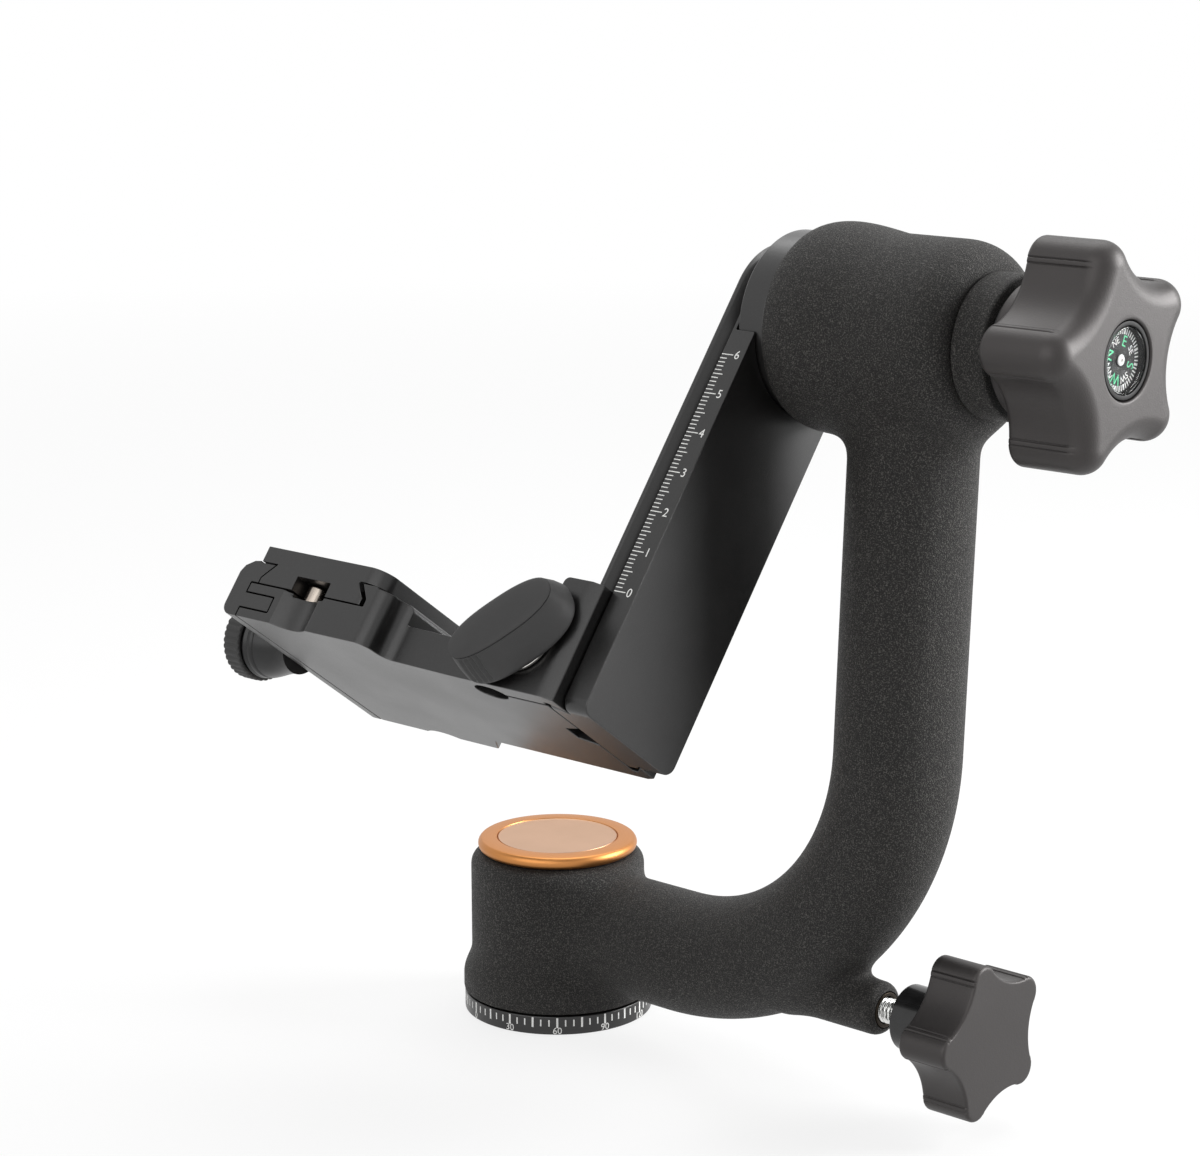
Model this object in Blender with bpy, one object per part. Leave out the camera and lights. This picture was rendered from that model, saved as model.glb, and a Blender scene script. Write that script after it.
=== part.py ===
"""A gimbal tripod head: pan base, C-shaped arm, tilting rail, sliding platform and clamp.

Sizes are in metres and +Z is up. The origin lies on the pan axis at the underside
of the base. The tilt axis runs along +X at TILT_AXIS_HEIGHT. Pieces of the swinging
group are placed from an empty on that axis, which is turned by SWING_ANGLE.
"""

import math

import bmesh
import bpy
import numpy as np
from mathutils import Vector

# General
GAP = 0.0003
OVERRUN = 0.002
WELD = 0.000001
FULL_TURN = 2 * math.pi
SMOOTH_ANGLE = math.radians(35)

# Base and its scale ring
BASE_RADIUS = 0.02375
RING_HEIGHT = 0.0047
RING_WALL = 0.0018
RING_EDGE = 0.0003
SOCKET_RADIUS = 0.0041
SOCKET_DEPTH = 0.0100
INSERT_RADIUS = 0.0065
BASE_SCREWS = 3
BASE_SCREW_CIRCLE = 0.0107
BASE_SCREW_RADIUS = 0.0015
BASE_SCREW_HEAD_RADIUS = 0.0027
BASE_SCREW_HEAD_HEIGHT = 0.0016

# Pan spindle, its bearings and its nut
SPINDLE_RADIUS = 0.0090
SPINDLE_FLANGE_RADIUS = 0.0144
SPINDLE_FLANGE_HEIGHT = 0.0035
SPINDLE_THREAD_RADIUS = 0.0060
PAN_BEARING_RADIUS = 0.0147
PAN_BEARING_HEIGHT = 0.0050
UPPER_BEARING_RADIUS = 0.0130
SPRING_WASHER_RADIUS = 0.0112
SPRING_WASHER_HEIGHT = 0.0012
PAN_NUT_RADIUS = 0.0088
PAN_NUT_HEIGHT = 0.0040
THREAD_STANDOUT = 0.0005

# Pan housing and its cap
HOUSING_RADIUS = 0.0219
HOUSING_FLARE_RADIUS = 0.0240
HOUSING_FLARE_HEIGHT = 0.0115
ARM_RUN_HEIGHT = 0.0237
HOUSING_RISE = 0.0163
HOUSING_TOP = ARM_RUN_HEIGHT + HOUSING_RISE
HOUSING_SHOULDER = 0.0035
SPINDLE_CLEARANCE_RADIUS = 0.0105
UPPER_BEARING_SEAT_DEPTH = 0.0097
UPPER_BEARING_SEAT = HOUSING_TOP - UPPER_BEARING_SEAT_DEPTH
CAP_RADIUS = 0.0201
CAP_HEIGHT = 0.0044
CAP_EDGE = 0.0017
CAP_STEP_RADIUS = 0.01506
CAP_STEP = 0.0003
CAP_SPIGOT_HEIGHT = 0.0020
CAP_WALL = 0.0015

# Arm tube
ARM_TUBE_RADIUS = 0.0148
ARM_BEND_START = 0.0425
ARM_BEND_RADIUS = 0.0650
ARM_BEND_ANGLE = math.radians(87.6)
ARM_FILLET = 0.0036
ARM_SINK = 0.0004
ARM_END_DEPTH = 0.0120
ARM_BEND_END_X = ARM_BEND_START + ARM_BEND_RADIUS * math.sin(ARM_BEND_ANGLE)
ARM_BEND_END_Z = ARM_RUN_HEIGHT + ARM_BEND_RADIUS * (1 - math.cos(ARM_BEND_ANGLE))

# Tilt hub
TILT_AXIS_HEIGHT = 0.18204
HUB_SET_BACK = 0.00372
HUB_LENGTH = 0.0469
ARM_LEAN = (TILT_AXIS_HEIGHT - ARM_BEND_END_Z) / math.tan(ARM_BEND_ANGLE)
HUB_MIDDLE = ARM_BEND_END_X + ARM_LEAN - HUB_SET_BACK
HUB_START = HUB_MIDDLE - HUB_LENGTH / 2
HUB_END = HUB_START + HUB_LENGTH
HUB_RADIUS = 0.0224
HUB_BULGE_RADIUS = 0.0248
HUB_BULGE_LENGTH = 0.0205
HUB_START_SHARE = 0.12
HUB_SHOULDER_LENGTH = 0.0090
HUB_SHOULDER_DROP = 0.0060
INNER_BEARING_RADIUS = 0.0157
INNER_BEARING_INSET = 0.0047
INNER_BEARING_START = HUB_START + INNER_BEARING_INSET
INNER_BEARING_WIDTH = 0.0060
OUTER_BEARING_RADIUS = 0.0130
OUTER_BEARING_INSET = 0.0112
OUTER_BEARING_START = HUB_END - OUTER_BEARING_INSET
OUTER_BEARING_WIDTH = 0.0060
HUB_CLEARANCE_RADIUS = 0.0105
COLLAR_RADIUS = 0.01608
COLLAR_LENGTH = 0.0088
COLLAR_END = HUB_END + COLLAR_LENGTH
COLLAR_SPIGOT = 0.0030
COLLAR_EDGE = 0.0006

# Tilt axle and flange
AXLE_RADIUS = 0.0070
AXLE_THREAD_RADIUS = 0.0050
AXLE_THREAD_LENGTH = 0.0160
AXLE_END = COLLAR_END + AXLE_THREAD_LENGTH
FLANGE_THICKNESS = 0.0072
FLANGE_START = HUB_START - GAP - FLANGE_THICKNESS
FLANGE_RADIUS = 0.0212
FLANGE_SPIGOT_RADIUS = 0.0100
FLANGE_WEB = 0.0026
AXLE_BOLT_RADIUS = 0.0030
AXLE_BOLT_HEAD_RADIUS = 0.0053
AXLE_BOLT_HEAD_HEIGHT = 0.0019
AXLE_BOLT_LENGTH = 0.0180
FLANGE_SCREWS = 4
FLANGE_SCREW_CIRCLE = 0.0122
FLANGE_SCREW_RADIUS = 0.0015
FLANGE_SCREW_HEAD_RADIUS = 0.0027
FLANGE_SCREW_HEAD_HEIGHT = 0.0028
FLANGE_SCREW_GRIP = 0.0045

# Tilt knob
FRICTION_WASHER_RADIUS = 0.0140
FRICTION_WASHER_THICKNESS = 0.0008
KNOB_LOBES = 5
TILT_KNOB_RADIUS = 0.0258
TILT_KNOB_WAIST_RADIUS = 0.0186
TILT_KNOB_LOBE_ROUND = 0.0058
TILT_KNOB_STANDOFF = 0.0054
TILT_KNOB_LENGTH = 0.0208
TILT_KNOB_BACK = COLLAR_END + TILT_KNOB_STANDOFF
TILT_KNOB_FACE = TILT_KNOB_BACK + TILT_KNOB_LENGTH
TILT_KNOB_BACK_EDGE = 0.0018
TILT_KNOB_FACE_EDGE = 0.0054
TILT_KNOB_BACK_SHARES = ((1, 0), (0.3, 0.3), (0, 1))
TILT_KNOB_FACE_SHARES = ((0, 1), (0.2, 0.4), (0.6, 0.08), (1, 0))
TILT_KNOB_BOSS_RADIUS = 0.0152
TILT_KNOB_TURN = math.radians(28.5)
TILT_INSERT_RADIUS = 0.0075
TILT_INSERT_LENGTH = 0.0165
COMPASS_RECESS_RADIUS = 0.0087
COMPASS_RECESS_DEPTH = 0.0054
COMPASS_WALL = 0.0010
COMPASS_RIM_DROP = 0.0004
COMPASS_CARD_THICKNESS = 0.0005
COMPASS_CARD_LIFT = 0.0012
COMPASS_PIVOT_RADIUS = 0.0005
COMPASS_PIVOT_HEIGHT = 0.0022
COMPASS_GLASS_THICKNESS = 0.0008

# Pan lock
BOSS_RADIUS = 0.0064
BOSS_STANDOUT = 0.0168
BOSS_LENGTH = 0.0256
ARM_BEND_FRONT = math.sqrt((ARM_BEND_RADIUS + ARM_TUBE_RADIUS) ** 2 - ARM_BEND_RADIUS ** 2)
BOSS_END = ARM_BEND_START + ARM_BEND_FRONT + BOSS_STANDOUT
BOSS_ROOT = BOSS_END - BOSS_LENGTH
BOSS_ROUND = 0.0018
BUSHING_RADIUS = 0.0042
BUSHING_LENGTH = 0.0100
STUD_RADIUS = 0.0030
STUD_LENGTH = 0.0310
BRAKE_SHOE_LENGTH = 0.0088
PAN_KNOB_RADIUS = 0.0190
PAN_KNOB_WAIST_RADIUS = 0.0142
PAN_KNOB_LOBE_ROUND = 0.0042
PAN_KNOB_STANDOFF = 0.0064
PAN_KNOB_HUB_LENGTH = 0.0112
PAN_KNOB_LOBES_LENGTH = 0.0128
PAN_KNOB_START = BOSS_END + PAN_KNOB_STANDOFF
PAN_KNOB_LOBES_START = PAN_KNOB_START + PAN_KNOB_HUB_LENGTH
PAN_KNOB_FACE = PAN_KNOB_LOBES_START + PAN_KNOB_LOBES_LENGTH
PAN_KNOB_HUB_RADIUS = 0.0078
PAN_KNOB_EDGE = 0.0006
PAN_KNOB_STUD_GRIP = 0.0080
PAN_KNOB_TURN = math.radians(32)

# Swing rail
SWING_ANGLE = math.radians(36.52)
RAIL_WIDTH = 0.0354
RAIL_CLEARANCE = 0.00226
RAIL_THICKNESS = 0.01114
RAIL_OUTER = HUB_START - RAIL_CLEARANCE
RAIL_SLAB_THICKNESS = 0.00654
RAIL_INNER = RAIL_OUTER - RAIL_THICKNESS
RAIL_BOTTOM = -0.1073
RAIL_CORNER = 0.0030
RAIL_EDGE = 0.0005
DOVETAIL_DEPTH = 0.0040
DOVETAIL_LIP = 0.0010

# Slider block of the platform
SLIDER_HALF_WIDTH = 0.0218
SLIDER_HEIGHT = 0.0283
SLIDER_STEP = 0.0055
SLIDER_BAR_DEPTH = 0.0064
SLIDER_BLOCK_DEPTH = 0.0239
SLIDER_TOP = RAIL_BOTTOM + SLIDER_HEIGHT
SLIDER_BAR_START = RAIL_INNER - SLIDER_BAR_DEPTH
SLIDER_BLOCK_TOP = SLIDER_TOP - SLIDER_STEP
SLIDER_BLOCK_START = RAIL_INNER - SLIDER_BLOCK_DEPTH
SLIDER_BLOCK_ROUND = 0.0060
SLIDER_BAR_ROUND = 0.0015
JAW_CHAMFER = 0.0026
SLIT_WIDTH = 0.0006
SLIT_OFFSET = 0.0056
RELIEF_HALF_LENGTH = 0.0046
RELIEF_HALF_WIDTH = 0.0031
GROOVE_DEPTH = 0.0050
GROOVE_MOUTH = 0.0100
GROOVE_FLOOR = 0.0050

# Platform leg and clamp body
PLATFORM_BOTTOM = RAIL_BOTTOM
LEG_THICKNESS = 0.0089
BED_THICKNESS = 0.0087
LEG_TOP = PLATFORM_BOTTOM + LEG_THICKNESS
BED_TOP = PLATFORM_BOTTOM + BED_THICKNESS
CLAMP_START = -0.0192
CLAMP_FRONT = -0.0302
CLAMP_BACK = 0.0274
CLAMP_WIDTH = 0.0397
CLAMP_SHOULDER = CLAMP_START + CLAMP_WIDTH
CLAMP_NECK_WIDTH = 0.0075
CLAMP_NECK = CLAMP_SHOULDER + CLAMP_NECK_WIDTH
LEG_SETBACK = 0.0074
LEG_FRONT = CLAMP_FRONT + LEG_SETBACK
JAW_WALL_HEIGHT = 0.0049
JAW_WALL_WIDTH = 0.0065
JAW_WALL_TOP = BED_TOP + JAW_WALL_HEIGHT
JAW_WALL_END = CLAMP_SHOULDER + JAW_WALL_WIDTH
JAW_WALL_ROUND = 0.0015
SCOOP_RADIUS = 0.0100
FRONT_SCOOP_CENTRE = -0.0015
FRONT_SCOOP_DEPTH = 0.0021
BACK_SCOOP_CENTRE = 0.0025
BACK_SCOOP_DEPTH = 0.0017

# Quick-release plate
PLATE_HALF_WIDTH = 0.0198
PLATE_INSET = 0.0002
PLATE_CENTRE = CLAMP_START + PLATE_INSET + PLATE_HALF_WIDTH
PLATE_THICKNESS = 0.0094
PLATE_FLANGE_THICKNESS = 0.0040
PLATE_NECK_HALF_WIDTH = 0.0142
PLATE_FOOT_HALF_WIDTH = 0.0176
PLATE_SLOPE_HEIGHT = 0.0040
PLATE_BOTTOM = BED_TOP + GAP
PLATE_TOP = PLATE_BOTTOM + PLATE_THICKNESS
PLATE_FRONT = CLAMP_FRONT
PLATE_BACK = CLAMP_BACK - PLATE_INSET
PLATE_CORNER = 0.0050
PAD_LENGTH = 0.0190
PAD_WIDTH = 0.0330
PAD_THICKNESS = 0.0012
PAD_STANDOUT = 0.0004
PAD_SPACING = 0.0170
PLATE_SCREW_RADIUS = 0.0031
PLATE_SCREW_HEAD_RADIUS = 0.0068
PLATE_SCREW_HEAD_HEIGHT = 0.0026
PLATE_SCREW_STANDOUT = 0.0046
PLATE_SCREW_SINK = 0.0003

# Movable jaw, its screw and its knob
JAW_THICKNESS = 0.0054
JAW_HEIGHT = 0.0145
JAW_TOP = PLATFORM_BOTTOM + JAW_HEIGHT
JAW_BOTTOM_ROUND = 0.0026
JAW_TOP_CHAMFER = 0.0018
TONGUE_RISE = 0.0025
TONGUE_THICKNESS = 0.0036
TONGUE_LENGTH = 0.0093
TONGUE_BOTTOM = PLATFORM_BOTTOM + TONGUE_RISE
TONGUE_TOP = TONGUE_BOTTOM + TONGUE_THICKNESS
TONGUE_END = CLAMP_START + TONGUE_LENGTH
CLAMP_AXIS_Y = -0.0015
CLAMP_AXIS_Z = (TONGUE_BOTTOM + TONGUE_TOP) / 2
CLAMP_SCREW_RADIUS = 0.0025
CLAMP_SCREW_REACH = 0.0179
CLAMP_SCREW_END = TONGUE_END + CLAMP_SCREW_REACH
CLAMP_SPRING_RADIUS = 0.0035
CLAMP_SPRING_WALL = 0.0006
CLAMP_SPRING_LENGTH = 0.0060
CLAMP_KNOB_RADIUS = 0.0099
CLAMP_KNOB_LENGTH = 0.0186
CLAMP_KNOB_NECK_RADIUS = 0.0062
CLAMP_KNOB_BODY_RADIUS = 0.0090
CLAMP_GRIP_LENGTH = 0.0052
CLAMP_GRIP_WALL = 0.0014
CLAMP_KNOB_EDGE = 0.0010

# Safety pin
PIN_REACH = 0.0167
PIN_SETBACK = 0.0056
PIN_LENGTH = 0.0066
PIN_CENTRE_X = CLAMP_START + PIN_REACH
PIN_CENTRE_Y = CLAMP_FRONT + PIN_SETBACK
PIN_RADIUS = 0.0027
PIN_WALL = 0.0007
PIN_CAP = 0.0008
PIN_FLOOR_THICKNESS = 0.0012
PIN_HOLE_FLOOR = PLATFORM_BOTTOM + PIN_FLOOR_THICKNESS
PIN_NOTCH_OFFSET = 0.0026
PIN_NOTCH_CENTRE = PIN_CENTRE_X + PIN_NOTCH_OFFSET
PIN_NOTCH_HALF_WIDTH = 0.0056
PIN_POCKET_DEPTH = 0.0008
PIN_POCKET_FLOOR = BED_TOP - PIN_POCKET_DEPTH
PIN_NOTCH_DEPTH = 0.0035
PIN_NOTCH_TOP = PLATE_BOTTOM + PIN_NOTCH_DEPTH
PIN_HEADROOM = 0.0004
PIN_TOP = PIN_NOTCH_TOP - PIN_HEADROOM
PIN_BOTTOM = PIN_TOP - PIN_LENGTH
PIN_SPRING_RADIUS = 0.0017
PIN_SPRING_WALL = 0.0006
PIN_SPRING_HEIGHT = 0.0060

# Wing knob of the slider
WING_AXIS_SETBACK = 0.0102
WING_AXIS_RISE = 0.0123
WING_AXIS_X = RAIL_INNER - WING_AXIS_SETBACK
WING_AXIS_Z = PLATFORM_BOTTOM + WING_AXIS_RISE
WING_WASHER_RADIUS = 0.0085
WING_WASHER_THICKNESS = 0.0009
WING_START_GAP = 0.0003
WING_HEIGHT = 0.0092
WING_HALF_LENGTH = 0.0150
WING_HALF_WIDTH = 0.0091
WING_SQUARENESS_SHARE = 0.8
WING_LEVEL_SHARES = (
    (0.00, 0.90, 0.92),
    (0.10, 1.00, 1.00),
    (0.45, 0.98, 0.86),
    (0.93, 0.91, 0.58),
    (1.00, 0.86, 0.50),
)
WING_TURN = math.radians(46)
WING_SCREW_RADIUS = 0.0025
WING_SCREW_LENGTH = 0.0200
WING_SCREW_GRIP = 0.0060

# Sides of large, medium and small turned pieces, and steps of the arm's curves
LARGE_STEPS = 40
MEDIUM_STEPS = 24
SMALL_STEPS = 14
BEND_STEPS = 8
FILLET_STEPS = 3


# Building helpers

def material(name, colour, roughness, metallic):
    """A Principled material with a plain colour."""
    made = bpy.data.materials.new(name)
    made.use_nodes = True
    shader = made.node_tree.nodes["Principled BSDF"]
    shader.inputs["Base Color"].default_value = (*colour, 1)
    shader.inputs["Roughness"].default_value = roughness
    shader.inputs["Metallic"].default_value = metallic
    made.diffuse_color = (*colour, 1)
    return made


def empty(name, place, parent=None, turn=(0, 0, 0)):
    """An empty that carries other pieces."""
    made = bpy.data.objects.new(name, None)
    made.location = place
    made.rotation_euler = turn
    made.parent = parent
    bpy.context.collection.objects.link(made)
    return made


def object_from(shape, name, surface, parent, place, turn):
    """Turns a closed bmesh into a smooth-shaded object."""
    bmesh.ops.remove_doubles(shape, verts=shape.verts, dist=WELD)
    bmesh.ops.recalc_face_normals(shape, faces=shape.faces)
    mesh = bpy.data.meshes.new(name)
    shape.to_mesh(mesh)
    shape.free()
    mesh.shade_smooth()
    mesh.set_sharp_from_angle(angle=SMOOTH_ANGLE)
    if surface:
        mesh.materials.append(surface)
    made = bpy.data.objects.new(name, mesh)
    made.location = place
    made.rotation_euler = turn
    made.parent = parent
    bpy.context.collection.objects.link(made)
    return made


ALONG_X = (0, math.pi / 2, 0)
ALONG_Y = (-math.pi / 2, 0, 0)


def turned(name, profile, surface=None, steps=MEDIUM_STEPS, parent=None, place=(0, 0, 0), turn=(0, 0, 0)):
    """A solid turned about its own Z axis from (radius, height) points.

    A profile with both ends on the axis stays open there; any other is closed to a ring.
    """
    shape = bmesh.new()
    points = [shape.verts.new((radius, 0, height)) for radius, height in profile]
    pairs = list(zip(points, points[1:]))
    if profile[0][0] > 0 or profile[-1][0] > 0:
        pairs.append((points[-1], points[0]))
    edges = [shape.edges.new(pair) for pair in pairs]
    bmesh.ops.spin(
        shape, geom=points + edges, cent=(0, 0, 0), axis=(0, 0, 1),
        angle=FULL_TURN, steps=steps, use_merge=True,
    )
    return object_from(shape, name, surface, parent, place, turn)


def ring_profile(inner, outer, bottom, top, edge=0.0):
    """The section of a plain ring, with its outer corners chamfered by edge."""
    if not edge:
        return [(inner, bottom), (outer, bottom), (outer, top), (inner, top)]
    return [
        (inner, bottom),
        (outer - edge, bottom),
        (outer, bottom + edge),
        (outer, top - edge),
        (outer - edge, top),
        (inner, top),
    ]


def disc_profile(radius, bottom, top, edge=0.0):
    """The section of a solid disc or rod, with its corners chamfered by edge."""
    if not edge:
        return [(0, bottom), (radius, bottom), (radius, top), (0, top)]
    return [
        (0, bottom),
        (radius - edge, bottom),
        (radius, bottom + edge),
        (radius, top - edge),
        (radius - edge, top),
        (0, top),
    ]


def arc(centre, radius, start, end, count):
    """Points along an arc, both ends included; angles in degrees."""
    points = []
    for step in range(count + 1):
        angle = math.radians(start + (end - start) * step / count)
        points.append((centre[0] + radius * math.cos(angle), centre[1] + radius * math.sin(angle)))
    return points


def ellipse(centre, half_length, half_width, count, turn=0.0):
    """Points round an ellipse whose long axis is turned by an angle."""
    points = []
    for step in range(count):
        angle = FULL_TURN * step / count
        along = half_length * math.cos(angle)
        across = half_width * math.sin(angle)
        points.append(
            (
                centre[0] + along * math.cos(turn) - across * math.sin(turn),
                centre[1] + along * math.sin(turn) + across * math.cos(turn),
            )
        )
    return points


def extruded(name, outline, axis, start, end, surface=None, parent=None, edge=0.0, place=(0, 0, 0)):
    """An outline extruded along X, Y or Z from start to end.

    The outline's two coordinates are (y, z), (x, z) or (x, y) for the three axes.
    """
    order = {"X": (2, 0, 1), "Y": (0, 2, 1), "Z": (0, 1, 2)}[axis]
    shape = bmesh.new()
    corners = []
    for point in outline:
        whole = (point[0], point[1], start)
        corners.append(shape.verts.new([whole[index] for index in order]))
    face = shape.faces.new(corners)
    grown = bmesh.ops.extrude_face_region(shape, geom=[face])["geom"]
    moved = [item for item in grown if isinstance(item, bmesh.types.BMVert)]
    shift = [0, 0, 0]
    shift["XYZ".index(axis)] = end - start
    bmesh.ops.translate(shape, verts=moved, vec=shift)
    made = object_from(shape, name, surface, parent, place, (0, 0, 0))
    if edge:
        bevel = made.modifiers.new("Edges", "BEVEL")
        bevel.width = edge
        bevel.segments = 1
        bevel.limit_method = "ANGLE"
        bevel.angle_limit = SMOOTH_ANGLE
    return made


def box(name, low, high, surface=None, parent=None, edge=0.0):
    """A block between two corners."""
    outline = [(low[0], low[1]), (high[0], low[1]), (high[0], high[1]), (low[0], high[1])]
    return extruded(name, outline, "Z", low[2], high[2], surface, parent, edge)


def lofted(name, rings, surface=None, parent=None, place=(0, 0, 0), turn=(0, 0, 0)):
    """A skin through rings of equal counts of points, closed at both ends."""
    shape = bmesh.new()
    rows = [[shape.verts.new(point) for point in ring] for ring in rings]
    for lower, upper in zip(rows, rows[1:]):
        for index in range(len(lower)):
            after = (index + 1) % len(lower)
            shape.faces.new((lower[index], lower[after], upper[after], upper[index]))
    shape.faces.new(reversed(rows[0]))
    shape.faces.new(rows[-1])
    return object_from(shape, name, surface, parent, place, turn)


def combine(target, tools, operation, solver="EXACT"):
    """Adds or takes away hidden helper shapes with Boolean modifiers."""
    for tool in tools:
        tool.hide_render = True
        tool.display_type = "WIRE"
        change = target.modifiers.new(operation.title(), "BOOLEAN")
        change.operation = operation
        change.solver = solver
        change.object = tool
    return target


def lobed_ring(tip, waist, lobe_round, inset, height, phase):
    """One ring of a lobed knob, drawn in by inset from its full outline.

    Round lobes and hollow waists are arcs that meet in a tangent. Angles run from
    the ring's own X axis, and the ring lies at the given height along Z.
    """
    half_step = math.pi / KNOB_LOBES
    lobe_distance = tip - lobe_round
    reach = lobe_distance * math.cos(half_step)
    hollow = (lobe_distance ** 2 + waist ** 2 - 2 * waist * reach - lobe_round ** 2) / (
        2 * (reach + lobe_round - waist)
    )
    lobe = Vector((lobe_distance, 0))
    hollow_centre = Vector((math.cos(half_step), math.sin(half_step))) * (waist + hollow)
    across = hollow_centre - lobe
    lobe_reach = math.degrees(math.atan2(across.y, across.x))
    hollow_start = math.degrees(math.atan2(-across.y, -across.x))
    hollow_end = math.degrees(2 * half_step - FULL_TURN) - hollow_start
    points = []
    for index in range(KNOB_LOBES):
        turn = phase + FULL_TURN * index / KNOB_LOBES
        one_lobe = arc(lobe, lobe_round - inset, -lobe_reach, lobe_reach, 4)
        one_hollow = arc(hollow_centre, hollow + inset, hollow_start, hollow_end, 4)[1:-1]
        for x, y in one_lobe + one_hollow:
            points.append(
                (x * math.cos(turn) - y * math.sin(turn), x * math.sin(turn) + y * math.cos(turn), height)
            )
    return points


# Materials

def make_materials():
    """One material for each finish on the head."""
    return {
        "powder": material("Powder coat", (0.028, 0.027, 0.025), 0.62, 0.0),
        "anodised": material("Black anodised", (0.022, 0.022, 0.024), 0.42, 0.6),
        "gold": material("Gold anodised", (0.52, 0.30, 0.16), 0.34, 1.0),
        "plastic": material("Moulded plastic", (0.045, 0.043, 0.042), 0.48, 0.0),
        "rubber": material("Soft rubber", (0.035, 0.035, 0.036), 0.72, 0.0),
        "steel": material("Turned steel", (0.55, 0.55, 0.56), 0.30, 1.0),
        "zinc": material("Zinc plate", (0.66, 0.67, 0.66), 0.28, 1.0),
        "chrome": material("Chrome", (0.80, 0.79, 0.77), 0.10, 1.0),
        "brass": material("Brass", (0.62, 0.46, 0.20), 0.32, 1.0),
        "black_steel": material("Black steel", (0.03, 0.03, 0.032), 0.38, 0.8),
        "card": material("Compass card", (0.02, 0.02, 0.02), 0.60, 0.0),
        "glass": material("Clear cover", (0.85, 0.88, 0.90), 0.05, 0.0),
    }


# Base

SPINDLE_BOTTOM = RING_HEIGHT + GAP
SPINDLE_FLANGE_TOP = SPINDLE_BOTTOM + SPINDLE_FLANGE_HEIGHT
LOWER_BEARING_TOP = SPINDLE_FLANGE_TOP + GAP + PAN_BEARING_HEIGHT
UPPER_BEARING_BOTTOM = UPPER_BEARING_SEAT + GAP
UPPER_BEARING_TOP = UPPER_BEARING_BOTTOM + PAN_BEARING_HEIGHT
SPRING_WASHER_BOTTOM = UPPER_BEARING_TOP + GAP
PAN_NUT_BOTTOM = SPRING_WASHER_BOTTOM + SPRING_WASHER_HEIGHT + GAP
PAN_NUT_TOP = PAN_NUT_BOTTOM + PAN_NUT_HEIGHT
SPINDLE_TOP = PAN_NUT_TOP + THREAD_STANDOUT
SPINDLE_SHOULDER = UPPER_BEARING_TOP - GAP


def base_screw_places():
    """Where the screws stand, evenly round the pan axis."""
    places = []
    for index in range(BASE_SCREWS):
        angle = FULL_TURN * index / BASE_SCREWS
        places.append((BASE_SCREW_CIRCLE * math.cos(angle), BASE_SCREW_CIRCLE * math.sin(angle), 0))
    return places


def screw_profile(radius, head_radius, head_height, length):
    """A countersunk screw whose flat head lies at zero and whose shank points up."""
    return [(0, 0), (head_radius, 0), (radius, head_height), (radius, length), (0, length)]


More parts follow.
